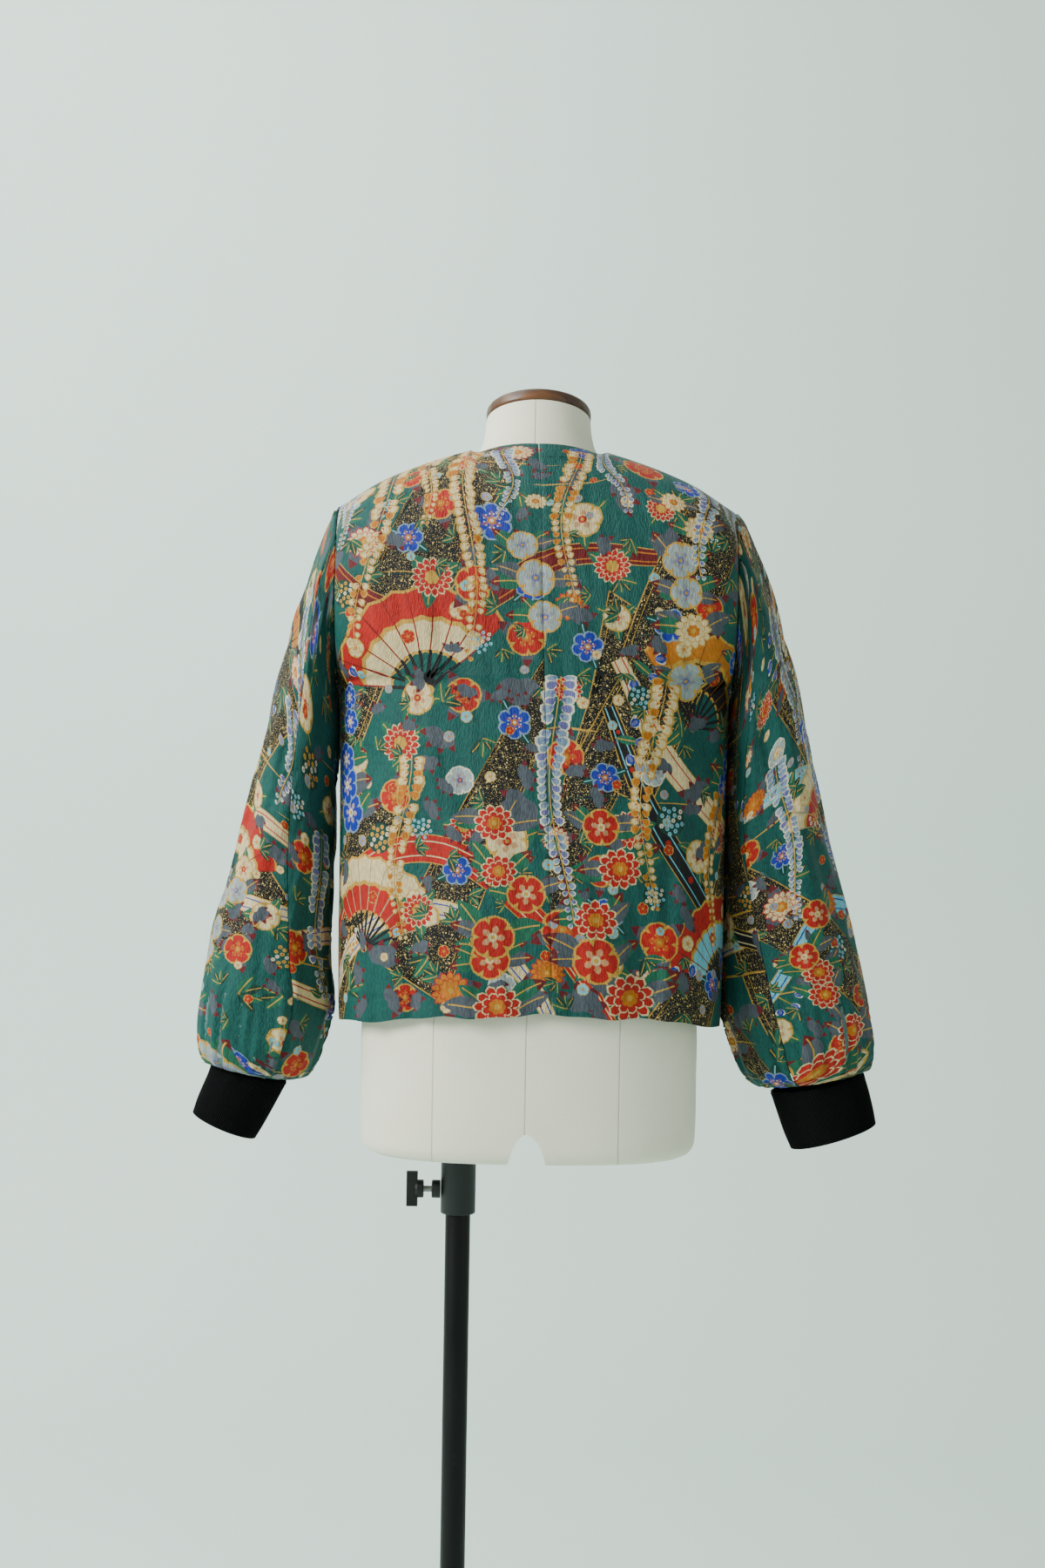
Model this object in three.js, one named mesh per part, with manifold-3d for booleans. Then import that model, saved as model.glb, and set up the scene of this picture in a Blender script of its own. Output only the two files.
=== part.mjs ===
// A collarless jacket cut from kimono crepe, worn on a limbless dress form
// that stands on a pole and a round base.
//
// Frame: millimetres, +Z up, the floor is Z = 0. The jacket's back faces -Y and
// +X is the wearer's right-hand side seen from behind. X = 0 is the centre plane
// of the form; the pole stands under its left lobe.
//
// Every cloth piece is one closed wall of CLOTH thickness laid on a surface
// function: a body section (squared ellipse) at each height, closed over the
// shoulder by an arch, and sleeves as rings between an outer and an inner edge.

import * as THREE from 'three';
import Module from 'manifold-3d';
import { mergeVertices } from 'three/addons/utils/BufferGeometryUtils.js';

// ---------------------------------------------------------------- dimensions
const CLOTH = 1.6;            // wall thickness of the jacket cloth
const SEAM = 0.3;             // gap between two pieces at a seam
const HEM_BACK = 933;         // height of the hem at the centre back
const HEM_SIDE = 915;         // and at the side seams
const HEM_FRONT = 926;        // and at the front edges
const YOKE = 1370;            // height where the shoulder arch begins
const UNDERARM = 1250;        // bottom of the armhole
const ARMHOLE_X = 195;        // plane of the armhole seam
const ARMHOLE_DEEP = 74;      // half of the armhole's depth
const TIP = { x: 196, z: 1426 };    // outer end of the shoulder seam
const NECK_SIDE = { x: 67, z: 1483 }; // inner end of the shoulder seam
const NECK_BACK = { y: -67, z: 1482.5 };
const NECK_FRONT = { x: 9, y: 88, z: 1412 }; // foot of the shallow V at the front
const NECK_PART = 0.27;       // share of the top edge that is neckline
const FRONT_GAP = 9;          // open strip between the two front edges
const TWIST = 21;             // sideways run of the centre-back seam at the hem

const POLE = { x: -68.5, r: 12.5, foot: 8.3, top: 985 };
const BORE = { r: 15, top: 1200 };
const FORM_FLOOR = 787;       // underside of the form
const COLLAR = { r: 17.4, bore: 13, top: 782.4, bottom: 721.5 };
const KNOB_Z = 745;
const BASE = { r: 190, edge: 6, dome: 14, hub: 24, hubTop: 46 };

// ---------------------------------------------------------------- tables
// Jacket body, outer face: half width, depth behind and before X axis, squareness.
const BODY = [
  { z: 905, w: 189.0, back: 124, front: 118, n: 2.55 },
  { z: 935, w: 190.5, back: 126, front: 120, n: 2.55 },
  { z: 1000, w: 191.5, back: 130, front: 125, n: 2.5 },
  { z: 1080, w: 191.5, back: 128, front: 129, n: 2.5 },
  { z: 1160, w: 192.5, back: 123, front: 133, n: 2.5 },
  { z: 1220, w: 193.5, back: 120, front: 135, n: 2.55 },
  { z: 1260, w: 194.5, back: 119, front: 134, n: 2.6 },
  { z: 1320, w: 195.0, back: 117, front: 127, n: 2.6 },
  { z: 1370, w: 195.0, back: 112, front: 116, n: 2.6 },
];

// Shoulder seam, from the neck to the tip.
const SHOULDER = [
  { s: 0.00, x: 67, z: 1483.0 },
  { s: 0.20, x: 90, z: 1475.5 },
  { s: 0.40, x: 115, z: 1465.8 },
  { s: 0.60, x: 141, z: 1454.8 },
  { s: 0.80, x: 168, z: 1441.0 },
  { s: 1.00, x: 196, z: 1426.0 },
];

// Sleeves: outer edge, inner edge, half depth, squareness, and where the
// lengthwise seams run (degrees round from the outer edge, behind and before).
const SLEEVE_RIGHT = [
  { t: 0.00, ox: 196.6, oz: 1426, ix: 196.4, iz: 1250, b: 74, n: 2.0, back: 62, fore: 118 },
  { t: 0.07, ox: 213.0, oz: 1408, ix: 196.8, iz: 1240, b: 76, n: 2.1, back: 74, fore: 118 },
  { t: 0.15, ox: 224.5, oz: 1378, ix: 197.2, iz: 1226, b: 77, n: 2.2, back: 92, fore: 118 },
  { t: 0.25, ox: 238.0, oz: 1336, ix: 197.6, iz: 1204, b: 76, n: 2.3, back: 112, fore: 119 },
  { t: 0.37, ox: 254.0, oz: 1282, ix: 197.6, iz: 1172, b: 74, n: 2.4, back: 126, fore: 120 },
  { t: 0.50, ox: 271.0, oz: 1210, ix: 197.0, iz: 1126, b: 71, n: 2.45, back: 134, fore: 121 },
  { t: 0.62, ox: 287.0, oz: 1140, ix: 196.6, iz: 1076, b: 69, n: 2.45, back: 132, fore: 122 },
  { t: 0.74, ox: 304.0, oz: 1070, ix: 196.4, iz: 1020, b: 67, n: 2.4, back: 126, fore: 122 },
  { t: 0.85, ox: 322.0, oz: 1004, ix: 196.2, iz: 966, b: 66, n: 2.35, back: 118, fore: 122 },
  { t: 0.93, ox: 336.0, oz: 944, ix: 194.8, iz: 930, b: 65, n: 2.3, back: 112, fore: 120 },
  { t: 0.97, ox: 342.5, oz: 903, ix: 202.0, iz: 897, b: 62, n: 2.2, back: 110, fore: 119 },
  { t: 0.99, ox: 341.0, oz: 876, ix: 218.0, iz: 862, b: 54, n: 2.1, back: 110, fore: 118 },
  { t: 1.00, ox: 333.0, oz: 870, ix: 241.0, iz: 849, b: 43, n: 2.05, back: 110, fore: 118 },
];
const SLEEVE_LEFT = [
  { t: 0.00, ox: 196.6, oz: 1426, ix: 196.4, iz: 1250, b: 74, n: 2.0, back: 54, fore: 118 },
  { t: 0.07, ox: 209.5, oz: 1404, ix: 196.8, iz: 1240, b: 76, n: 2.1, back: 60, fore: 118 },
  { t: 0.15, ox: 222.0, oz: 1370, ix: 197.4, iz: 1226, b: 77, n: 2.2, back: 68, fore: 118 },
  { t: 0.25, ox: 235.5, oz: 1328, ix: 198.4, iz: 1204, b: 76, n: 2.3, back: 80, fore: 119 },
  { t: 0.37, ox: 251.0, oz: 1272, ix: 200.0, iz: 1172, b: 74, n: 2.35, back: 88, fore: 120 },
  { t: 0.50, ox: 267.0, oz: 1200, ix: 202.0, iz: 1126, b: 71, n: 2.4, back: 93, fore: 121 },
  { t: 0.62, ox: 283.0, oz: 1132, ix: 203.0, iz: 1076, b: 69, n: 2.4, back: 99, fore: 122 },
  { t: 0.74, ox: 300.0, oz: 1064, ix: 204.0, iz: 1020, b: 67, n: 2.4, back: 108, fore: 122 },
  { t: 0.85, ox: 318.0, oz: 998, ix: 203.6, iz: 966, b: 66, n: 2.35, back: 116, fore: 122 },
  { t: 0.93, ox: 328.0, oz: 938, ix: 201.0, iz: 926, b: 65, n: 2.3, back: 120, fore: 120 },
  { t: 0.97, ox: 330.5, oz: 896, ix: 207.0, iz: 890, b: 61, n: 2.2, back: 118, fore: 119 },
  { t: 0.99, ox: 325.0, oz: 872, ix: 221.0, iz: 858, b: 51, n: 2.1, back: 114, fore: 118 },
  { t: 1.00, ox: 314.5, oz: 869.5, ix: 242.0, iz: 852, b: 37, n: 2.05, back: 112, fore: 118 },
];

// Knitted cuffs: upper and lower edge, outer and inner end, half depth.
const CUFF_RIGHT = [
  { k: 0.0, ox: 334.0, oz: 869.0, ix: 242.0, iz: 848.0, b: 43.0 },
  { k: 0.3, ox: 339.5, oz: 853.0, ix: 248.0, iz: 831.0, b: 42.0 },
  { k: 0.7, ox: 345.0, oz: 833.0, ix: 256.5, iz: 808.0, b: 40.5 },
  { k: 1.0, ox: 348.0, oz: 818.5, ix: 264.0, iz: 791.5, b: 39.0 },
];
const CUFF_LEFT = [
  { k: 0.0, ox: 315.5, oz: 869.0, ix: 241.2, iz: 851.2, b: 37.0 },
  { k: 0.3, ox: 322.0, oz: 853.0, ix: 250.0, iz: 833.5, b: 36.5 },
  { k: 0.7, ox: 330.5, oz: 833.0, ix: 263.0, iz: 809.5, b: 35.0 },
  { k: 1.0, ox: 335.0, oz: 819.3, ix: 272.6, iz: 793.3, b: 34.0 },
];

// Main folds. Body folds run between two heights at a place across the back
// (x) or front; sleeve folds run along t at an angle round the sleeve.
// deep < 0 is a trough, > 0 a ridge.
const BODY_FOLDS = [
  { face: 'back', z0: 940, x0: -118, z1: 1240, x1: -96, wide: 20, deep: -5.0 },
  { face: 'back', z0: 925, x0: 104, z1: 1210, x1: 122, wide: 17, deep: -5.5 },
  { face: 'back', z0: 925, x0: 140, z1: 1120, x1: 150, wide: 20, deep: 3.5 },
  { face: 'back', z0: 930, x0: -62, z1: 1130, x1: -50, wide: 26, deep: 3.5 },
  { face: 'back', z0: 1180, x0: -160, z1: 1340, x1: -120, wide: 22, deep: -4.0 },
  { face: 'back', z0: 1190, x0: 160, z1: 1350, x1: 128, wide: 20, deep: -4.0 },
  { face: 'front', z0: 925, x0: -105, z1: 1180, x1: -92, wide: 24, deep: -6.0 },
  { face: 'front', z0: 925, x0: 110, z1: 1170, x1: 90, wide: 22, deep: -6.0 },
];
const SLEEVE_FOLDS = [
  { side: -1, t0: 0.05, a0: 30, t1: 0.50, a1: 64, wide: 24, deep: -6.0 },
  { side: -1, t0: 0.16, a0: 120, t1: 0.62, a1: 140, wide: 18, deep: -5.0 },
  { side: -1, t0: 0.55, a0: 40, t1: 0.96, a1: 66, wide: 20, deep: -4.0 },
  { side: 1, t0: 0.30, a0: 100, t1: 0.80, a1: 92, wide: 20, deep: -6.0 },
  { side: 1, t0: 0.08, a0: 36, t1: 0.45, a1: 44, wide: 24, deep: -4.5 },
  { side: 1, t0: 0.55, a0: 34, t1: 0.96, a1: 52, wide: 20, deep: -4.0 },
  { side: -1, t0: 0.20, a0: -70, t1: 0.85, a1: -58, wide: 24, deep: -5.0 },
  { side: 1, t0: 0.20, a0: -62, t1: 0.85, a1: -74, wide: 24, deep: -5.0 },
];

// Dress form: half width, depth behind and before, squareness, forward shift and
// forward lean (degrees) of each section.
const FORM = [
  { z: 787, w: 155, back: 98, front: 96, n: 2.6, y: 0, lean: 0 },
  { z: 790.5, w: 162, back: 105, front: 103, n: 2.6, y: 0, lean: 0 },
  { z: 800, w: 166.5, back: 110, front: 107, n: 2.6, y: 0, lean: 0 },
  { z: 860, w: 167.5, back: 113, front: 106, n: 2.5, y: 0, lean: 0 },
  { z: 930, w: 166, back: 114, front: 104, n: 2.4, y: 0, lean: 0 },
  { z: 990, w: 152, back: 104, front: 100, n: 2.3, y: 0, lean: 0 },
  { z: 1050, w: 130, back: 88, front: 92, n: 2.25, y: 0, lean: 0 },
  { z: 1105, w: 118, back: 78, front: 88, n: 2.2, y: 0, lean: 0 },
  { z: 1165, w: 130, back: 84, front: 103, n: 2.25, y: 0, lean: 0 },
  { z: 1225, w: 146, back: 94, front: 121, n: 2.3, y: 0, lean: 0 },
  { z: 1280, w: 156, back: 101, front: 117, n: 2.3, y: 0, lean: 0 },
  { z: 1340, w: 172, back: 104, front: 103, n: 2.35, y: 0, lean: 0 },
  { z: 1385, w: 178, back: 99, front: 90, n: 2.35, y: 0, lean: 0 },
  { z: 1412, w: 172, back: 93, front: 73, n: 2.25, y: 0, lean: 0 },
  { z: 1432, w: 140, back: 84, front: 58, n: 2.05, y: 0, lean: 0 },
  { z: 1450, w: 101, back: 74, front: 51, n: 2.0, y: 0, lean: 2 },
  { z: 1466, w: 71, back: 64, front: 49, n: 2.0, y: 1, lean: 5 },
  { z: 1482, w: 59, back: 56.5, front: 50, n: 2.0, y: 2, lean: 9 },
  { z: 1498, w: 54.2, back: 53, front: 50, n: 2.0, y: 4, lean: 14 },
  { z: 1514, w: 52.5, back: 51.5, front: 51, n: 2.0, y: 6, lean: 17 },
];

const COLOUR = {
  crepe: 0x0b6f60, knit: 0x17171a, linen: 0xe4e0d2, walnut: 0x4a2e1c,
  lacquer: 0x20282b, steel: 0x9a9c9a, cast: 0x2a3234,
};

// ---------------------------------------------------------------- helpers
const rad = (d) => (d * Math.PI) / 180;
const clamp = (v, a, b) => Math.min(b, Math.max(a, v));
const smooth = (v) => { const q = clamp(v, 0, 1); return q * q * (3 - 2 * q); };
const mix = (a, b, f) => a + (b - a) * f;

// Reads one column of a table at a position along its key, with rounded steps
// between rows (cubic with the neighbours' slopes).
function read(table, key, column, at) {
  const last = table.length - 1;
  if (at <= table[0][key]) return table[0][column];
  if (at >= table[last][key]) return table[last][column];
  let i = 0;
  while (table[i + 1][key] < at) i += 1;
  const slope = (k) => {
    const a = table[Math.max(0, k - 1)];
    const b = table[Math.min(last, k + 1)];
    return (b[column] - a[column]) / (b[key] - a[key]);
  };
  const x0 = table[i][key];
  const h = table[i + 1][key] - x0;
  const f = (at - x0) / h;
  const f2 = f * f;
  const f3 = f2 * f;
  return (2 * f3 - 3 * f2 + 1) * table[i][column] + (f3 - 2 * f2 + f) * h * slope(i)
    + (-2 * f3 + 3 * f2) * table[i + 1][column] + (f3 - f2) * h * slope(i + 1);
}

// A squared ellipse of half width w and depth d: the point at an angle from the
// depth axis.
function squared(angle, w, d, n) {
  const c = Math.abs(Math.cos(angle));
  const s = Math.abs(Math.sin(angle));
  const r = (c ** n + s ** n) ** (-1 / n);
  return [w * r * Math.sin(angle), d * r * Math.cos(angle)];
}

// Height of a soft fold at a point, from its distance to the fold's line.
function foldHeight(distance, along, fold) {
  const end = smooth(along / 0.25) * smooth((1 - along) / 0.3);
  return fold.deep * Math.exp(-((distance / fold.wide) ** 2)) * end;
}

// ---------------------------------------------------------------- jacket body
const armholeDepth = (z) => (z <= UNDERARM ? 0
  : ARMHOLE_DEEP * Math.sqrt(Math.max(0, 1 - ((z - 1338) / 88) ** 2)));

// a runs from the centre line (0) to the side seam or armhole (1), v from the
// hem (0) to the neckline and shoulder seam (1).
function bodyRow(side, face, a, z) {
  const back = face === 'back';
  const w = read(BODY, 'z', 'w', z);
  const d = read(BODY, 'z', back ? 'back' : 'front', z);
  const n = read(BODY, 'z', 'n', z);
  const open = armholeDepth(z);
  const twist = back ? TWIST * clamp((1480 - z) / 545, 0, 1) : 0;
  const start = back ? Math.atan2(twist, w) * side : Math.atan2(FRONT_GAP / 2, w);
  const angle = mix(start, Math.PI / 2, a);
  const [x, y] = squared(angle, w, d - open, n);
  return { x: x * side, y: open + y, z };
}

function bodyTop(side, face, a) {
  if (a >= NECK_PART) {
    const s = (a - NECK_PART) / (1 - NECK_PART);
    return { x: side * read(SHOULDER, 's', 'x', s), y: 0, z: read(SHOULDER, 's', 'z', s) };
  }
  const f = a / NECK_PART;
  if (face === 'back') {
    const g = rad(90 * f);
    return {
      x: side * NECK_SIDE.x * Math.sin(g),
      y: -NECK_BACK.y * Math.cos(g),
      z: mix(NECK_BACK.z, NECK_SIDE.z, f) - 4.5 * Math.sin(Math.PI * f ** 1.6) ** 2,
    };
  }
  const g = rad(90 * f);
  return {
    x: side * mix(NECK_FRONT.x / 2, NECK_SIDE.x, Math.sin(g) ** 0.9),
    y: NECK_FRONT.y * Math.cos(g),
    z: mix(NECK_FRONT.z, NECK_SIDE.z, 1 - Math.cos(g) ** 1.1),
  };
}

function bodyPoint(side, face, a, v) {
  const sign = face === 'back' ? -1 : 1;
  const arch = 0.78;
  const hem = face === 'back'
    ? mix(HEM_BACK, HEM_SIDE, smooth(a))
    : mix(HEM_FRONT, HEM_SIDE, smooth(a));
  let p;
  if (v <= arch) {
    p = bodyRow(side, face, a, mix(hem, YOKE, v / arch));
  } else {
    const q = bodyRow(side, face, a, YOKE);
    const top = bodyTop(side, face, a);
    const f = (v - arch) / (1 - arch);
    const bend = rad(mix(58, 90, smooth(a / NECK_PART)));
    const rise = Math.sin(bend * f) / Math.sin(bend);
    const over = (1 - Math.cos(bend * f)) / (1 - Math.cos(bend));
    p = { x: mix(q.x, top.x, smooth(f) * 0.5 + over * 0.5), y: mix(q.y, top.y, over), z: mix(q.z, top.z, rise) };
  }
  let push = 0;
  const edge = smooth(a / 0.06 + (face === 'back' ? 1 : 0)) * smooth((1 - a) / 0.14);
  for (const fold of BODY_FOLDS) {
    if (fold.face !== face) continue;
    const along = (p.z - fold.z0) / (fold.z1 - fold.z0);
    if (along <= -0.3 || along >= 1) continue;
    push += foldHeight(p.x - mix(fold.x0, fold.x1, along), clamp(along + 0.25, 0, 1), fold);
  }
  return new THREE.Vector3(p.x, sign * (p.y + push * edge), p.z);
}

// ---------------------------------------------------------------- sleeves
// The armhole edge of the body, round from the shoulder tip (0) to the underarm
// (1), behind or before.
function armholeEdge(share) {
  const start = Math.acos((YOKE - 1338) / 88);
  const first = start / Math.PI;
  if (share >= first) {
    const g = Math.PI * share;
    return { x: ARMHOLE_X, y: ARMHOLE_DEEP * Math.sin(g), z: 1338 + 88 * Math.cos(g) };
  }
  const f = 1 - share / first;
  const over = 1 - Math.cos((Math.PI / 2) * f);
  return {
    x: mix(ARMHOLE_X, TIP.x, smooth(f) * 0.5 + over * 0.5),
    y: mix(armholeDepth(YOKE), 0, over),
    z: mix(YOKE, TIP.z, Math.sin((Math.PI / 2) * f)),
  };
}

// angle: 0 at the outer edge, positive round the back, to 180 at the inner edge.
function sleevePoint(side, angle, t) {
  const table = side < 0 ? SLEEVE_LEFT : SLEEVE_RIGHT;
  const at = (column) => read(table, 't', column, t);
  let turn = angle % 360;
  if (turn > 180) turn -= 360;
  if (turn < -180) turn += 360;
  const g = rad(Math.abs(turn));
  const n = at('n');
  const r = (Math.abs(Math.cos(g)) ** n + Math.abs(Math.sin(g)) ** n) ** (-1 / n);
  const cx = (at('ox') + at('ix')) / 2;
  const cz = (at('oz') + at('iz')) / 2;
  const ax = (at('ox') - at('ix')) / 2;
  const az = (at('oz') - at('iz')) / 2;
  let x = cx + ax * r * Math.cos(g);
  let z = cz + az * r * Math.cos(g);
  let y = at('b') * r * Math.sin(g);
  const free = smooth(t / 0.24);
  if (free < 1) {
    const rim = armholeEdge(Math.abs(turn) / 180);
    x = mix(rim.x + SEAM + 0.3 + t * 60, x, free);
    y = mix(rim.y, y, free);
    z = mix(rim.z - t * 40, z, free);
  }
  let push = 0;
  for (const fold of SLEEVE_FOLDS) {
    if (fold.side !== side) continue;
    const along = (t - fold.t0) / (fold.t1 - fold.t0);
    if (along <= 0 || along >= 1) continue;
    let off = turn - mix(fold.a0, fold.a1, along);
    if (off > 180) off -= 360;
    if (off < -180) off += 360;
    push += foldHeight(off * 1.15, along, fold);
  }
  push *= smooth(t / 0.06) * smooth((1 - t) / 0.05);
  const scale = 1 + push / Math.max(30, Math.hypot(y, x - cx));
  const back = turn >= 0 ? -1 : 1;
  return new THREE.Vector3(side * mix(cx, x, scale), back * y * scale, mix(cz, z, scale));
}

function cuffPoint(side, angle, k) {
  const table = side < 0 ? CUFF_LEFT : CUFF_RIGHT;
  const at = (column) => read(table, 'k', column, k);
  const g = rad(angle);
  const cx = (at('ox') + at('ix')) / 2;
  const cz = (at('oz') + at('iz')) / 2;
  const ax = (at('ox') - at('ix')) / 2;
  const az = (at('oz') - at('iz')) / 2;
  return new THREE.Vector3(side * (cx + ax * Math.cos(g)), -at('b') * Math.sin(g), cz + az * Math.cos(g));
}

// ---------------------------------------------------------------- solids
// A closed wall on surface(u, v): outer face, inner face CLOTH inside it and a
// rim round the edges. turn = -1 flips which side is out. round = true closes
// the surface on itself along u.
function wall(surface, nu, nv, turn, thick = CLOTH, round = false) {
  const cols = round ? nu : nu + 1;
  const rows = nv + 1;
  const position = [];
  const normalAt = (u, v) => {
    const e = 0.004;
    const u0 = round ? u - e : Math.max(0, u - e);
    const u1 = round ? u + e : Math.min(1, u + e);
    const du = surface(u1, v).sub(surface(u0, v));
    const dv = surface(u, Math.min(1, v + e)).sub(surface(u, Math.max(0, v - e)));
    return du.cross(dv).normalize().multiplyScalar(turn);
  };
  for (const inner of [0, 1]) {
    for (let j = 0; j < rows; j += 1) {
      for (let i = 0; i < cols; i += 1) {
        const u = i / nu;
        const v = j / nv;
        const p = surface(u, v);
        if (inner) p.addScaledVector(normalAt(u, v), -thick);
        position.push(p.x, p.y, p.z);
      }
    }
  }
  const base = rows * cols;
  const index = [];
  const id = (i, j, inner) => inner * base + j * cols + (round ? i % cols : i);
  const quad = (a, b, c, d) => {
    if (turn > 0) index.push(a, b, c, a, c, d);
    else index.push(a, c, b, a, d, c);
  };
  for (let j = 0; j < nv; j += 1) {
    for (let i = 0; i < nu; i += 1) {
      quad(id(i, j, 0), id(i + 1, j, 0), id(i + 1, j + 1, 0), id(i, j + 1, 0));
      quad(id(i, j, 1), id(i, j + 1, 1), id(i + 1, j + 1, 1), id(i + 1, j, 1));
    }
  }
  for (let i = 0; i < nu; i += 1) {
    quad(id(i, 0, 1), id(i + 1, 0, 1), id(i + 1, 0, 0), id(i, 0, 0));
    quad(id(i, nv, 0), id(i + 1, nv, 0), id(i + 1, nv, 1), id(i, nv, 1));
  }
  if (!round) {
    for (let j = 0; j < nv; j += 1) {
      quad(id(0, j, 0), id(0, j + 1, 0), id(0, j + 1, 1), id(0, j, 1));
      quad(id(nu, j, 1), id(nu, j + 1, 1), id(nu, j + 1, 0), id(nu, j, 0));
    }
  }
  const g = new THREE.BufferGeometry();
  g.setAttribute('position', new THREE.BufferAttribute(new Float32Array(position), 3));
  g.setIndex(index);
  return g;
}

// A closed loft through rings of equal point count, capped flat at both ends.
function loft(rings) {
  const count = rings[0].length;
  const position = [];
  for (const ring of rings) for (const p of ring) position.push(p.x, p.y, p.z);
  const index = [];
  for (let j = 0; j < rings.length - 1; j += 1) {
    for (let i = 0; i < count; i += 1) {
      const a = j * count + i;
      const b = j * count + ((i + 1) % count);
      index.push(a, b, b + count, a, b + count, a + count);
    }
  }
  const cap = (ring, flip) => {
    const centre = position.length / 3;
    const sum = new THREE.Vector3();
    for (const p of rings[ring]) sum.add(p);
    sum.divideScalar(count);
    position.push(sum.x, sum.y, sum.z);
    for (let i = 0; i < count; i += 1) {
      const a = ring * count + i;
      const b = ring * count + ((i + 1) % count);
      if (flip) index.push(centre, b, a);
      else index.push(centre, a, b);
    }
  };
  cap(0, true);
  cap(rings.length - 1, false);
  const g = new THREE.BufferGeometry();
  g.setAttribute('position', new THREE.BufferAttribute(new Float32Array(position), 3));
  g.setIndex(index);
  return g;
}

const wasm = await Module();
wasm.setup();

function toSolid(geometry) {
  const plain = geometry.clone();
  plain.deleteAttribute('normal');
  plain.deleteAttribute('uv');
  const g = mergeVertices(plain, 1e-4);
  return new wasm.Manifold(new wasm.Mesh({
    numProp: 3,
    vertProperties: new Float32Array(g.attributes.position.array),
    triVerts: new Uint32Array(g.index.array),
  }));
}

function toGeometry(solid) {
  const m = solid.getMesh();
  const g = new THREE.BufferGeometry();
  const position = new Float32Array((m.vertProperties.length / m.numProp) * 3);
  for (let i = 0; i < position.length / 3; i += 1) {
    for (let k = 0; k < 3; k += 1) position[i * 3 + k] = m.vertProperties[i * m.numProp + k];
  }
  g.setAttribute('position', new THREE.BufferAttribute(position, 3));
  g.setIndex([...m.triVerts]);
  return g;
}

// ---------------------------------------------------------------- assembly
const group = new THREE.Group();
function add(name, geometry, colour, roughness = 0.8, metalness = 0) {
  geometry.computeVertexNormals();
  const mesh = new THREE.Mesh(geometry, new THREE.MeshStandardMaterial({ color: colour, roughness, metalness }));
  mesh.name = name;
  group.add(mesh);
  return mesh;
}

const trimmed = (u, inset) => inset + u * (1 - 2 * inset);

// Four body panels. The inset leaves half a seam gap at each long edge.
for (const side of [-1, 1]) {
  const hand = side < 0 ? 'left' : 'right';
  for (const face of ['back', 'front']) {
    const turn = (side < 0) === (face === 'back') ? -1 : 1;
    const surface = (u, v) => bodyPoint(side, face, trimmed(u, 0.0008), Math.min(v, 0.9985));
    add(`${face}_${hand}`, wall(surface, 12, 18, turn), COLOUR.crepe, 0.72);
  }
}

// Sleeves in two pieces with lengthwise seams behind and before.
for (const side of [-1, 1]) {
  const hand = side < 0 ? 'left' : 'right';
  const table = side < 0 ? SLEEVE_LEFT : SLEEVE_RIGHT;
  const seamGap = 0.25;
  const outer = (u, v) => {
    const a = -read(table, 't', 'fore', v) + seamGap;
    const b = read(table, 't', 'back', v) - seamGap;
    return sleevePoint(side, mix(a, b, u), v * 0.9965);
  };
  const inner = (u, v) => {
    const a = read(table, 't', 'back', v) + seamGap;
    const b = 360 - read(table, 't', 'fore', v) - seamGap;
    return sleevePoint(side, mix(a, b, u), v * 0.9965);
  };
  const turn = side < 0 ? -1 : 1;
  add(`sleeve_${hand}_outer`, wall(outer, 14, 21, -turn), COLOUR.crepe, 0.72);
  add(`sleeve_${hand}_inner`, wall(inner, 9, 21, -turn), COLOUR.crepe, 0.72);
}

// Knitted cuffs: short tubes under the gathered sleeve ends.
for (const side of [-1, 1]) {
  const hand = side < 0 ? 'left' : 'right';
  const surface = (u, v) => cuffPoint(side, u * 360, 0.02 + v * 0.98);
  add(`cuff_${hand}`, wall(surface, 30, 4, side < 0 ? 1 : -1, 2.4, true), COLOUR.knit, 0.95);
}

// The form: one smooth loft, two lobes parted by an arch, and a bore for the pole.
{
  const sides = 44;
  const rings = [];
  const levels = [787, 790.5, 800, 830, 860, 895, 930, 960, 990, 1020, 1050, 1078, 1105, 1135, 1165,
    1195, 1225, 1252, 1280, 1310, 1340, 1363, 1385, 1399, 1412, 1422, 1432, 1441, 1450, 1458, 1466,
    1474, 1482, 1490, 1498, 1506, 1514];
  for (const z of levels) {
    const at = (column) => read(FORM, 'z', column, z);
    const lean = rad(at('lean'));
    const ring = [];
    for (let i = 0; i < sides; i += 1) {
      const g = (i / sides) * Math.PI * 2;
      const depth = Math.cos(g) > 0 ? at('back') : at('front');
      const [x, d] = squared(g, at('w'), depth, at('n'));
      ring.push(new THREE.Vector3(x, at('y') - d * Math.cos(lean), z + d * Math.sin(lean)));
    }
    rings.push(ring);
  }
  const torso = toSolid(loft(rings));
  const boreGeo = new THREE.CylinderGeometry(BORE.r, BORE.r, BORE.top - 700, 28);
  boreGeo.rotateX(Math.PI / 2);
  boreGeo.translate(POLE.x, 0, (BORE.top + 700) / 2);
  // Arch between the lobes: a rounded wedge cut along Y.
  const arch = new THREE.Shape();
  arch.moveTo(-22, 770);
  arch.lineTo(-19, 789);
  arch.quadraticCurveTo(-12, 816, -2, 818);
  arch.quadraticCurveTo(10, 816, 17, 789);
  arch.lineTo(20, 770);
  arch.closePath();
  const archGeo = new THREE.ExtrudeGeometry(arch, { depth: 300, bevelEnabled: false, curveSegments: 6 });
  archGeo.rotateX(Math.PI / 2);
  archGeo.translate(0, 150, 0);
  const solid = torso.subtract(toSolid(boreGeo)).subtract(toSolid(archGeo));
  add('form_torso', toGeometry(solid), COLOUR.linen, 0.85);
}

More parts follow.
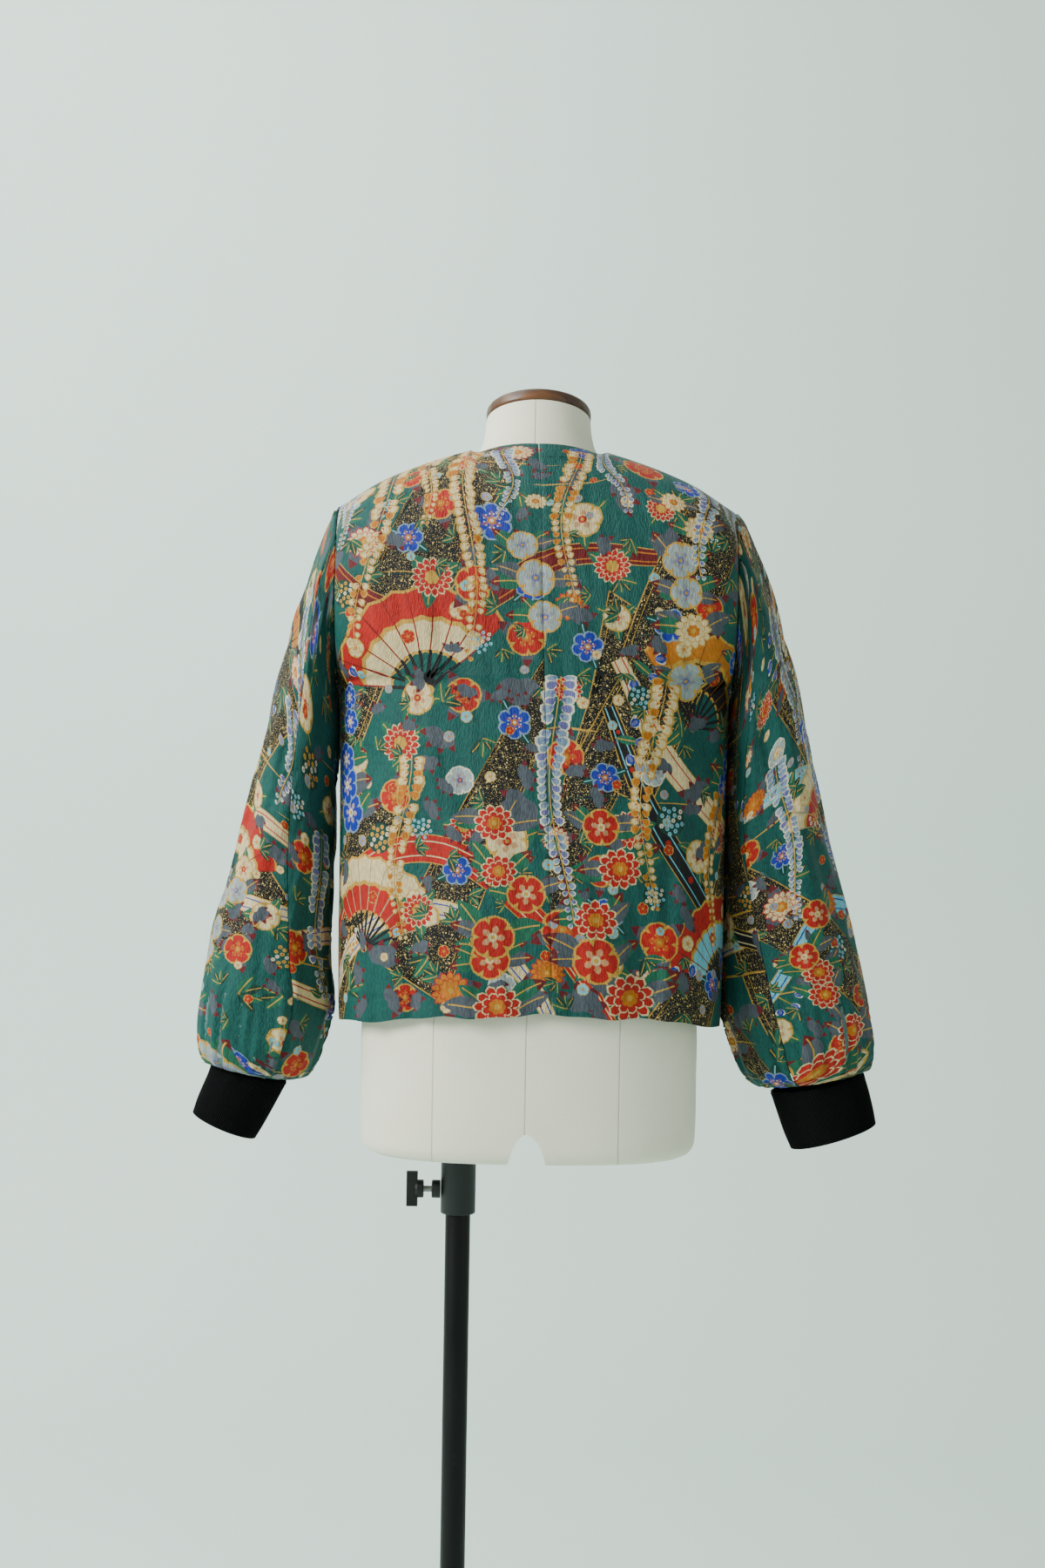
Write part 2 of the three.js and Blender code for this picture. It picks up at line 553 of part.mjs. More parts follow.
// Neck cap: a turned wooden disc with an eased upper edge, leaning with the neck.
{
  const p = [[0, 0], [50.5, 0], [52.5, 1.6], [52.5, 8.5], [51.2, 11], [48.5, 12.4], [36, 13.6], [0, 14.4]];
  const g = new THREE.LatheGeometry(p.map(([x, y]) => new THREE.Vector2(x, y)), 48);
  const plain = g.clone();
  plain.deleteAttribute('normal');
  plain.deleteAttribute('uv');
  const cap = mergeVertices(plain, 1e-4);
  cap.rotateX(Math.PI / 2);          // axis up
  cap.rotateX(rad(-17));      // leans forward: the back edge is higher
  cap.translate(0, 6, 1514.5);
  add('neck_cap', cap, COLOUR.walnut, 0.5);
}

// Fittings under the left lobe.
function turned(profile, sides = 40) {
  const g = new THREE.LatheGeometry(profile.map(([r, y]) => new THREE.Vector2(r, y)), sides);
  g.deleteAttribute('normal');
  g.deleteAttribute('uv');
  const m = mergeVertices(g, 1e-4);
  m.rotateX(Math.PI / 2);
  return m;
}

{
  const shape = new THREE.Shape();
  const w = 42;
  const h = 30;
  const r = 10;
  shape.moveTo(-w + r, -h);
  shape.lineTo(w - r, -h);
  shape.quadraticCurveTo(w, -h, w, -h + r);
  shape.lineTo(w, h - r);
  shape.quadraticCurveTo(w, h, w - r, h);
  shape.lineTo(-w + r, h);
  shape.quadraticCurveTo(-w, h, -w, h - r);
  shape.lineTo(-w, -h + r);
  shape.quadraticCurveTo(-w, -h, -w + r, -h);
  const hole = new THREE.Path();
  hole.absarc(0, 0, COLLAR.bore, 0, Math.PI * 2, true);
  shape.holes.push(hole);
  const g = new THREE.ExtrudeGeometry(shape, { depth: 4, bevelEnabled: false, curveSegments: 10 });
  g.translate(POLE.x, 0, FORM_FLOOR - 4.3);
  g.deleteAttribute('normal');
  g.deleteAttribute('uv');
  add('plate', mergeVertices(g, 1e-4), COLOUR.cast, 0.45, 0.6);
}
{
  const { r, bore, top, bottom } = COLLAR;
  const g = turned([[bore, bottom + 1], [bore + 0.8, bottom], [r - 1.2, bottom], [r, bottom + 1.2], [r, top - 8], [r + 4, top - 2.5], [r + 4, top], [bore, top], [bore, bottom + 1]], 40);
  g.translate(POLE.x, 0, 0);
  add('collar', g, COLOUR.cast, 0.45, 0.6);
}
{
  // Threaded boss on the collar's left side, axis along X.
  const boss = turned([[3.5, 0], [9, 0], [9, 7.6], [8.2, 8.6], [3.5, 8.6], [3.5, 0]], 28);
  boss.rotateY(-Math.PI / 2);
  boss.translate(POLE.x - COLLAR.r - 0.5, 0, KNOB_Z);
  add('boss', boss, COLOUR.cast, 0.45, 0.6);
}
{
  // Clamp screw and its wing knob turn together about X.
  const screw = turned([[0, 0], [3, 0], [3, 14], [0, 14]], 20);
  screw.rotateY(-Math.PI / 2);
  screw.translate(POLE.x - COLLAR.r - 3, 0, KNOB_Z);
  add('clamp_screw', screw, COLOUR.steel, 0.35, 0.9);

  const hub = turned([[0, 0], [8.4, 0], [9, 0.8], [9, 6], [7.6, 8.2], [0, 8.2]], 28);
  hub.rotateY(-Math.PI / 2);
  const wing = new THREE.Shape();
  wing.moveTo(-17, -4);
  wing.quadraticCurveTo(-18.4, 0, -17, 4);
  wing.quadraticCurveTo(-13, 6.4, -8, 3.4);
  wing.quadraticCurveTo(0, 2.2, 8, 3.4);
  wing.quadraticCurveTo(13, 6.4, 17, 4);
  wing.quadraticCurveTo(18.4, 0, 17, -4);
  wing.quadraticCurveTo(0, -3, -17, -4);
  const blade = new THREE.ExtrudeGeometry(wing, { depth: 11, bevelEnabled: false, curveSegments: 5 });
  blade.rotateY(Math.PI / 2);        // width now along X, span along Z
  blade.translate(-17, 0, 0);
  const joined = toSolid(hub).add(toSolid(blade));
  const g = toGeometry(joined);
  g.translate(POLE.x - COLLAR.r - 17.3, 0, KNOB_Z);
  add('wing_knob', g, COLOUR.lacquer, 0.5, 0.2);
}

// Pole and base.
{
  const pole = turned([[0, POLE.foot + 16], [POLE.r, POLE.foot + 16], [POLE.r, POLE.top - 2], [POLE.r - 2, POLE.top], [0, POLE.top]], 40);
  pole.translate(POLE.x, 0, 0);
  add('pole', pole, COLOUR.lacquer, 0.4, 0.5);

  const { r, edge, dome, hub, hubTop } = BASE;
  const base = turned([
    [0, 0], [r - 2, 0], [r, 2], [r, edge], [r - 3, edge + 2.4], [r * 0.6, dome - 2.5], [hub + 10, dome + 1.5],
    [hub + 2, dome + 5], [hub, dome + 10], [hub - 2, hubTop - 3], [hub - 5, hubTop], [POLE.r + 0.3, hubTop],
    [POLE.r + 0.3, POLE.foot + 15.7], [0, POLE.foot + 15.7]], 64);
  base.translate(POLE.x, 0, 0);
  add('base', base, COLOUR.lacquer, 0.45, 0.5);
}

export default group;
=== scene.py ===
import bpy, bmesh, math
import numpy as np
from mathutils import Vector, Matrix
from mathutils.geometry import delaunay_2d_cdt


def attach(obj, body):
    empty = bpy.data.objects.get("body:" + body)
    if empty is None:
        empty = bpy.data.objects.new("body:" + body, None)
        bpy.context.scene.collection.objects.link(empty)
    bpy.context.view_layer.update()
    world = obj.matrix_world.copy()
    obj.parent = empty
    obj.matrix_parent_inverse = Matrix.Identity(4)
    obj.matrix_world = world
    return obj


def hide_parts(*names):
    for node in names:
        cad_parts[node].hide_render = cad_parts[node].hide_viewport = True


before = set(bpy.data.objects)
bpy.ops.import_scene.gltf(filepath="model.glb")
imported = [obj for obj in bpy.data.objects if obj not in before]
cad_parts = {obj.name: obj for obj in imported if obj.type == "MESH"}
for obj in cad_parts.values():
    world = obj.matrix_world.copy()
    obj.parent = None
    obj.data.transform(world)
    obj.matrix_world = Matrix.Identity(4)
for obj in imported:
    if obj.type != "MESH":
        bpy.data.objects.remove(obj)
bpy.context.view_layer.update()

MM = 0.001
scene = bpy.context.scene

# ------------------------------------------------------------------ camera
cam_data = bpy.data.cameras.new("camera")
cam_data.sensor_fit = 'VERTICAL'
cam_data.sensor_height = 36.0
cam_data.lens = 50.0
cam_data.clip_end = 60.0
camera = bpy.data.objects.new("camera", cam_data)
scene.collection.objects.link(camera)
camera.matrix_world = (Matrix.Translation((-0.0105, -2.180, 1.1515))
                       @ Matrix.Rotation(math.radians(90), 4, 'X')
                       @ Matrix.Rotation(math.radians(0.9), 4, 'Z'))
scene.camera = camera

# ------------------------------------------------------------------ tables
CLOTH = 1.6
SEAM = 0.3
HEM_BACK, HEM_SIDE, HEM_FRONT = 933.0, 915.0, 926.0
YOKE = 1370.0
UNDERARM = 1250.0
ARMHOLE_X = 195.0
ARMHOLE_DEEP = 74.0
TIP_X, TIP_Z = 196.0, 1426.0
NECK_SIDE = (67.0, 1483.0)
NECK_BACK = (-67.0, 1482.5)
NECK_FRONT = (9.0, 88.0, 1412.0)
NECK_PART = 0.27
FRONT_GAP = 9.0
TWIST = 21.0

BODY = {
    'z':     [905, 935, 1000, 1080, 1160, 1220, 1260, 1320, 1370],
    'w':     [189.0, 190.5, 191.5, 191.5, 192.5, 193.5, 194.5, 195.0, 195.0],
    'back':  [124, 126, 130, 128, 123, 120, 119, 117, 112],
    'front': [118, 120, 125, 129, 133, 135, 134, 127, 116],
    'n':     [2.55, 2.55, 2.5, 2.5, 2.5, 2.55, 2.6, 2.6, 2.6],
}
SHOULDER = {
    's': [0.0, 0.2, 0.4, 0.6, 0.8, 1.0],
    'x': [67, 90, 115, 141, 168, 196],
    'z': [1483.0, 1475.5, 1465.8, 1454.8, 1441.0, 1426.0],
}
SLEEVE = {
    1: {
        't':  [0, .07, .15, .25, .37, .50, .62, .74, .85, .93, .97, .99, 1.0],
        'ox': [196.6, 213, 224.5, 238, 254, 271, 287, 304, 322, 336, 342.5, 341, 333],
        'oz': [1426, 1408, 1378, 1336, 1282, 1210, 1140, 1070, 1004, 944, 903, 876, 870],
        'ix': [196.4, 196.8, 197.2, 197.6, 197.6, 197, 196.6, 196.4, 196.2, 194.8, 202, 218, 241],
        'iz': [1250, 1240, 1226, 1204, 1172, 1126, 1076, 1020, 966, 930, 897, 862, 849],
        'b':  [74, 76, 77, 76, 74, 71, 69, 67, 66, 65, 62, 54, 43],
        'n':  [2.0, 2.1, 2.2, 2.3, 2.4, 2.45, 2.45, 2.4, 2.35, 2.3, 2.2, 2.1, 2.05],
        'back': [62, 74, 92, 112, 126, 134, 132, 126, 118, 112, 110, 110, 110],
        'fore': [118, 118, 118, 119, 120, 121, 122, 122, 122, 120, 119, 118, 118],
    },
    -1: {
        't':  [0, .07, .15, .25, .37, .50, .62, .74, .85, .93, .97, .99, 1.0],
        'ox': [196.6, 209.5, 222, 235.5, 251, 267, 283, 300, 318, 328, 330.5, 325, 314.5],
        'oz': [1426, 1404, 1370, 1328, 1272, 1200, 1132, 1064, 998, 938, 896, 872, 869.5],
        'ix': [196.4, 196.8, 197.4, 198.4, 200, 202, 203, 204, 203.6, 201, 207, 221, 242],
        'iz': [1250, 1240, 1226, 1204, 1172, 1126, 1076, 1020, 966, 926, 890, 858, 852],
        'b':  [74, 76, 77, 76, 74, 71, 69, 67, 66, 65, 61, 51, 37],
        'n':  [2.0, 2.1, 2.2, 2.3, 2.35, 2.4, 2.4, 2.4, 2.35, 2.3, 2.2, 2.1, 2.05],
        'back': [54, 60, 68, 80, 88, 93, 99, 108, 116, 120, 118, 114, 112],
        'fore': [118, 118, 118, 119, 120, 121, 122, 122, 122, 120, 119, 118, 118],
    },
}
CUFF = {
    1: {'k': [0, .3, .7, 1], 'ox': [334, 339.5, 345, 348], 'oz': [869, 853, 833, 818.5],
        'ix': [242, 248, 256.5, 264], 'iz': [848, 831, 808, 791.5], 'b': [43, 42, 40.5, 39]},
    -1: {'k': [0, .3, .7, 1], 'ox': [315.5, 322, 330.5, 335], 'oz': [869, 853, 833, 819.3],
         'ix': [241.2, 250, 263, 272.6], 'iz': [851.2, 833.5, 809.5, 793.3], 'b': [37, 36.5, 35, 34]},
}
FORM = {
    'z':    [787, 790.5, 800, 860, 930, 990, 1050, 1105, 1165, 1225, 1280, 1340, 1385, 1412, 1432, 1450, 1466, 1482, 1498, 1514],
    'w':    [155, 162, 166.5, 167.5, 166, 152, 130, 118, 130, 146, 156, 172, 178, 172, 140, 101, 71, 59, 54.2, 52.5],
    'back': [98, 105, 110, 113, 114, 104, 88, 78, 84, 94, 101, 104, 99, 93, 84, 74, 64, 56.5, 53, 51.5],
    'front': [96, 103, 107, 106, 104, 100, 92, 88, 103, 121, 117, 103, 90, 73, 58, 51, 49, 50, 50, 51],
    'n':    [2.6, 2.6, 2.6, 2.5, 2.4, 2.3, 2.25, 2.2, 2.25, 2.3, 2.3, 2.35, 2.35, 2.25, 2.05, 2, 2, 2, 2, 2],
    'y':    [0]*15 + [0, 1, 2, 4, 6],
    'lean': [0]*15 + [2, 5, 9, 14, 17],
}

# Folds: (face, z0, x0, z1, x1, width, depth). The first eight are the frame's.
BODY_FOLDS = [
    ('back', 940, -118, 1240, -96, 20, -5.0), ('back', 925, 104, 1210, 122, 17, -5.5),
    ('back', 925, 140, 1120, 150, 20, 3.5), ('back', 930, -62, 1130, -50, 26, 3.5),
    ('back', 1180, -160, 1340, -120, 22, -4.0), ('back', 1190, 160, 1350, 128, 20, -4.0),
    ('front', 925, -105, 1180, -92, 24, -6.0), ('front', 925, 110, 1170, 90, 22, -6.0),
    # finer creases
    ('back', 925, -113, 1010, -108, 4.5, -2.6), ('back', 925, 118, 1030, 126, 4.5, -2.8),
    ('back', 1010, 126, 1170, 137, 6, -2.2), ('back', 925, 38, 1060, 46, 9, -1.6),
    ('back', 925, -160, 1060, -150, 9, 1.9), ('back', 940, 164, 1080, 168, 7, -2.0),
    ('back', 1100, -150, 1230, -170, 8, -2.0), ('back', 1130, -30, 1290, -44, 12, 1.3),
    ('back', 1150, 66, 1310, 52, 13, 1.4), ('back', 1220, -110, 1370, -76, 9, -1.5),
    ('back', 1230, 112, 1370, 84, 9, -1.5), ('back', 925, -18, 1000, -20, 6, -1.1),
    ('back', 1020, -176, 1180, -166, 7, -2.2), ('back', 1050, 172, 1200, 160, 8, 2.0),
    ('front', 925, -140, 1100, -150, 9, -2.4), ('front', 925, 60, 1050, 66, 8, -1.8),
    ('front', 1080, -150, 1240, -172, 9, -2.2), ('front', 1080, 146, 1240, 168, 9, -2.2),
    ('front', 925, -50, 1040, -58, 10, 2.0), ('front', 1180, 120, 1370, 84, 12, -2.2),
    ('front', 1180, -118, 1370, -86, 12, -2.2),
]
# (side, t0, angle0, t1, angle1, width, depth)
SLEEVE_FOLDS = [
    (-1, .05, 30, .50, 64, 24, -6.0), (-1, .16, 120, .62, 140, 18, -5.0), (-1, .55, 40, .96, 66, 20, -4.0),
    (1, .30, 100, .80, 92, 20, -6.0), (1, .08, 36, .45, 44, 24, -4.5), (1, .55, 34, .96, 52, 20, -4.0),
    (-1, .20, -70, .85, -58, 24, -5.0), (1, .20, -62, .85, -74, 24, -5.0),
    # finer creases
    (-1, .10, 60, .34, 96, 8, 2.6), (-1, .30, 58, .62, 70, 8, 2.2), (-1, .62, 84, .95, 88, 7, -2.2),
    (-1, .70, 128, .96, 134, 8, -2.4), (-1, .02, 84, .24, 118, 9, -2.6), (-1, .44, 20, .72, 34, 8, -1.8),
    (1, .28, 118, .62, 122, 8, 2.6), (1, .40, 62, .74, 66, 8, 2.0), (1, .62, 84, .95, 92, 7, -2.2),
    (1, .70, 132, .96, 128, 8, -2.4), (1, .02, 92, .30, 132, 9, -3.0), (1, .50, 20, .78, 26, 8, -1.8),
    (-1, .5, -30, .9, -40, 9, -2.2), (1, .45, -34, .9, -38, 9, -2.2), (-1, .3, -110, .8, -104, 9, -2.2),
    (1, .3, -108, .8, -112, 9, -2.2), (-1, .80, 30, .985, 36, 7, -2.0), (1, .80, 18, .985, 28, 7, -2.0),
]


# ------------------------------------------------------------------ surface functions (the frame's, as arrays)
def smooth(v):
    q = np.clip(v, 0, 1)
    return q * q * (3 - 2 * q)


def mix(a, b, f):
    return a + (b - a) * f


def read(table, key, column, at):
    """The frame's rounded table reading, for arrays."""
    k = np.asarray(table[key], float)
    c = np.asarray(table[column], float)
    at = np.clip(np.asarray(at, float), k[0], k[-1])
    slope = np.empty(len(k))
    slope[1:-1] = (c[2:] - c[:-2]) / (k[2:] - k[:-2])
    slope[0] = (c[1] - c[0]) / (k[1] - k[0])
    slope[-1] = (c[-1] - c[-2]) / (k[-1] - k[-2])
    i = np.clip(np.searchsorted(k, at, side='left') - 1, 0, len(k) - 2)
    h = k[i + 1] - k[i]
    f = (at - k[i]) / h
    f2, f3 = f * f, f * f * f
    return ((2 * f3 - 3 * f2 + 1) * c[i] + (f3 - 2 * f2 + f) * h * slope[i]
            + (-2 * f3 + 3 * f2) * c[i + 1] + (f3 - f2) * h * slope[i + 1])


def squared(angle, w, d, n):
    c = np.abs(np.cos(angle))
    s = np.abs(np.sin(angle))
    r = (c ** n + s ** n) ** (-1 / n)
    return w * r * np.sin(angle), d * r * np.cos(angle)


def fold_height(distance, along, wide, deep):
    end = smooth(along / 0.25) * smooth((1 - along) / 0.3)
    return deep * np.exp(-((distance / wide) ** 2)) * end


def ripple(x, y, seed):
    """A small smooth uneven height, from a few seeded waves."""
    rng = np.random.RandomState(seed)
    out = np.zeros_like(x)
    for _ in range(9):
        a = rng.uniform(0, math.pi)
        # waves run mostly along the length, so crests are near vertical
        k = rng.uniform(1 / 95, 1 / 32) * 2 * math.pi
        kx, ky = k * (0.55 + 0.45 * abs(math.cos(a))), k * 0.42 * math.sin(a)
        out = out + np.sin(kx * x + ky * y + rng.uniform(0, 6.28)) * rng.uniform(0.4, 1.0)
    return out / 9


def armhole_depth(z):
    return np.where(z <= UNDERARM, 0.0, ARMHOLE_DEEP * np.sqrt(np.maximum(0, 1 - ((z - 1338) / 88) ** 2)))


def body_row(side, face, a, z):
    back = face == 'back'
    w = read(BODY, 'z', 'w', z)
    d = read(BODY, 'z', 'back' if back else 'front', z)
    n = read(BODY, 'z', 'n', z)
    opened = armhole_depth(z)
    if back:
        twist = TWIST * np.clip((1480 - z) / 545, 0, 1)
        start = np.arctan2(twist, w) * side
    else:
        start = np.arctan2(FRONT_GAP / 2, w)
    angle = mix(start, math.pi / 2, a)
    x, y = squared(angle, w, d - opened, n)
    return x * side, opened + y, z


def body_point(side, face, a, v, fine=True):
    a, v = np.broadcast_arrays(np.asarray(a, float), np.asarray(v, float))
    sign = -1 if face == 'back' else 1
    arch = 0.78
    hem = mix(HEM_BACK if face == 'back' else HEM_FRONT, HEM_SIDE, smooth(a))
    x0, y0, z0 = body_row(side, face, a, mix(hem, YOKE, np.clip(v / arch, 0, 1)))
    # over the shoulder
    s = np.clip((a - NECK_PART) / (1 - NECK_PART), 0, 1)
    f = np.clip(a / NECK_PART, 0, 1)
    g = f * math.pi / 2
    if face == 'back':
        nx = side * NECK_SIDE[0] * np.sin(g)
        ny = -NECK_BACK[0] * np.cos(g)
        nz = mix(NECK_BACK[1], NECK_SIDE[1], f) - 4.5 * np.sin(math.pi * f ** 1.6) ** 2
    else:
        nx = side * mix(NECK_FRONT[0] / 2, NECK_SIDE[0], np.sin(g) ** 0.9)
        ny = NECK_FRONT[1] * np.cos(g)
        nz = mix(NECK_FRONT[2], NECK_SIDE[1], 1 - np.abs(np.cos(g)) ** 1.1)
    on = a >= NECK_PART
    tx = np.where(on, side * read(SHOULDER, 's', 'x', s), nx)
    ty = np.where(on, 0.0, ny)
    tz = np.where(on, read(SHOULDER, 's', 'z', s), nz)
    u = np.clip((v - arch) / (1 - arch), 0, 1)
    bend = np.radians(mix(58, 90, smooth(a / NECK_PART)))
    rise = np.sin(bend * u) / np.sin(bend)
    over = (1 - np.cos(bend * u)) / (1 - np.cos(bend))
    up = v > arch
    x = np.where(up, mix(x0, tx, smooth(u) * 0.5 + over * 0.5), x0)
    y = np.where(up, mix(y0, ty, over), y0)
    z = np.where(up, mix(z0, tz, rise), z0)
    push = np.zeros_like(x)
    edge = smooth(a / 0.06 + (1 if face == 'back' else 0)) * smooth((1 - a) / 0.14)
    for k, (fc, za, xa, zb, xb, wide, deep) in enumerate(BODY_FOLDS):
        if fc != face or (k >= 8 and not fine):
            continue
        along = (z - za) / (zb - za)
        h = fold_height(x - mix(xa, xb, along), np.clip(along + 0.25, 0, 1), wide, deep)
        push += np.where((along > -0.3) & (along < 1), h, 0)
    push *= edge
    if fine:
        low = smooth((1400 - z) / 200)
        push += ripple(x, z, 11 if face == 'back' else 12) * 4.6 * low * edge
        push += ripple(x * 2.1, z * 2.1, 13) * 1.7 * edge
        push += ripple(x * 5.2, z * 3.4, 15) * 0.8 * edge
        if face == 'back':      # the centre-back seam sits in a fine groove and puckers a little
            cb = np.abs(x - TWIST * np.clip((1480 - z) / 545, 0, 1))
            push += -0.9 * np.exp(-(cb / 1.6) ** 2) + 0.35 * np.sin(z / 1.9) * np.exp(-(cb / 7) ** 2)
        # turned hem: a slight step and pull where it is stitched
        hq = v / arch * (YOKE - hem)
        push += 0.35 * np.exp(-((hq - 3) / 4) ** 2) - 0.55 * np.exp(-((hq - 24) / 1.8) ** 2) \
            + 0.3 * np.sin(x / 2.6) * np.exp(-((hq - 24) / 9) ** 2)
        # puckers along the side seams
        push += 0.4 * np.sin(z / 3.1) * np.exp(-(((1 - a) * 260) / 9) ** 2) * (z < UNDERARM)
        # eased neckline edge
        top = (1 - v) * 130
        push += np.where(on, 0, 0.4 * np.exp(-((top - 2.5) / 2.5) ** 2) - 0.4 * np.exp(-((top - 7) / 1.5) ** 2))
    if fine:
        z = z + (1.4 * np.sin(x / 17 + 0.7) + 0.8 * np.sin(x / 7.3)) * np.exp(-np.maximum(0, v) * 590 / 45)
    return np.stack([x, sign * (y + push), z], -1)


def armhole_edge(share):
    start = math.acos((YOKE - 1338) / 88)
    first = start / math.pi
    g = math.pi * share
    f = np.clip(1 - share / first, 0, 1)
    over = 1 - np.cos(math.pi / 2 * f)
    low = share >= first
    yj = float(armhole_depth(np.array(YOKE)))
    x = np.where(low, ARMHOLE_X, mix(ARMHOLE_X, TIP_X, smooth(f) * 0.5 + over * 0.5))
    y = np.where(low, ARMHOLE_DEEP * np.sin(g), mix(yj, 0, over))
    z = np.where(low, 1338 + 88 * np.cos(g), mix(YOKE, TIP_Z, np.sin(math.pi / 2 * f)))
    return x, y, z


def sleeve_point(side, angle, t, fine=True):
    angle, t = np.broadcast_arrays(np.asarray(angle, float), np.asarray(t, float))
    tb = SLEEVE[side]
    at = lambda c: read(tb, 't', c, t)
    turn = (angle + 180) % 360 - 180
    g = np.radians(np.abs(turn))
    n = at('n')
    ox, oz, ix, iz = at('ox'), at('oz'), at('ix'), at('iz')
    r = (np.abs(np.cos(g)) ** n + np.abs(np.sin(g)) ** n) ** (-1 / n)
    cx, cz, ax, az = (ox + ix) / 2, (oz + iz) / 2, (ox - ix) / 2, (oz - iz) / 2
    x = cx + ax * r * np.cos(g)
    z = cz + az * r * np.cos(g)
    y = at('b') * r * np.sin(g)
    free = smooth(t / 0.24)
    ex, ey, ez = armhole_edge(np.abs(turn) / 180)
    x = np.where(free < 1, mix(ex + SEAM + 0.3 + t * 60, x, free), x)
    y = np.where(free < 1, mix(ey, y, free), y)
    z = np.where(free < 1, mix(ez - t * 40, z, free), z)
    if fine:      # the sleeve lies against the side of the body
        near = (0.5 - 0.5 * np.cos(g)) ** 7
        x = x - 4.6 * near * smooth((t - 0.03) / 0.1) * smooth((0.97 - t) / 0.05)
    push = np.zeros_like(x)
    for k, (sd, t0, a0, t1, a1, wide, deep) in enumerate(SLEEVE_FOLDS):
        if sd != side or (k >= 8 and not fine):
            continue
        along = (t - t0) / (t1 - t0)
        off = (turn - mix(a0, a1, along) + 180) % 360 - 180
        push += np.where((along > 0) & (along < 1), fold_height(off * 1.15, np.clip(along, 0, 1), wide, deep), 0)
    push *= smooth(t / 0.06) * smooth((1 - t) / 0.05)
    if fine:
        s = turn * 1.12
        push += ripple(s * 1.0, t * 620, 21 + side) * 4.4 * smooth(t / 0.1) * smooth((1 - t) / 0.04)
        push += ripple(s * 2.2, t * 1300, 27 + side) * 1.8 * smooth(t / 0.05)
        push += ripple(s * 5.2, t * 2100, 33 + side) * 0.8 * smooth(t / 0.05)
        # gathers above the cuff
        gather = smooth((t - 0.86) / 0.12)
        push += gather * (1.5 * np.sin(turn * 0.30 + 1.2 * np.sin(turn * 0.11)) + 0.8 * np.sin(turn * 0.62 + 1)) \
            * smooth((1.0 - t) / 0.006 + 0.35)
        # seam grooves
        for col, sg in (('back', 1), ('fore', -1)):
            d = (turn - sg * at(col)) * 1.12
            push += -0.9 * np.exp(-(d / 1.5) ** 2) + 0.35 * np.sin(t * 620 / 2.0) * np.exp(-(d / 7) ** 2)
        push += -0.6 * np.exp(-(t * 620 / 1.6) ** 2)
    scale = 1 + push / np.maximum(30, np.hypot(y, x - cx))
    back = np.where(turn >= 0, -1, 1)
    return np.stack([side * mix(cx, x, scale), back * y * scale, mix(cz, z, scale)], -1)


def cuff_point(side, angle, k):
    tb = CUFF[side]
    at = lambda c: read(tb, 'k', c, k)
    g = np.radians(angle)
    cx, cz = (at('ox') + at('ix')) / 2, (at('oz') + at('iz')) / 2
    ax, az = (at('ox') - at('ix')) / 2, (at('oz') - at('iz')) / 2
    return np.stack([side * (cx + ax * np.cos(g)), -at('b') * np.sin(g), cz + az * np.cos(g)], -1)


# ------------------------------------------------------------------ mesh helpers
def srgb(r, g, b):
    out = []
    for c in (r, g, b):
        c = c / 255
        out.append(c / 12.92 if c <= 0.04045 else ((c + 0.055) / 1.055) ** 2.4)
    return tuple(out)


def new_object(name, verts, faces, smooth_faces=True):
    me = bpy.data.meshes.new(name)
    me.from_pydata([tuple(v) for v in verts], [], [tuple(f) for f in faces])
    me.update()
    if smooth_faces:
        me.polygons.foreach_set("use_smooth", np.ones(len(me.polygons), bool))
    ob = bpy.data.objects.new(name, me)
    scene.collection.objects.link(ob)
    return ob


def surface_normals(fn, u, v, eu, ev, turn):
    """Unit normals of fn(u, v) by central differences."""
    du = fn(u + eu, v) - fn(u - eu, v)
    dv = fn(u, v + ev) - fn(u, v - ev)
    n = np.cross(du, dv) * turn
    ln = np.linalg.norm(n, axis=-1, keepdims=True)
    return n / np.maximum(ln, 1e-9)


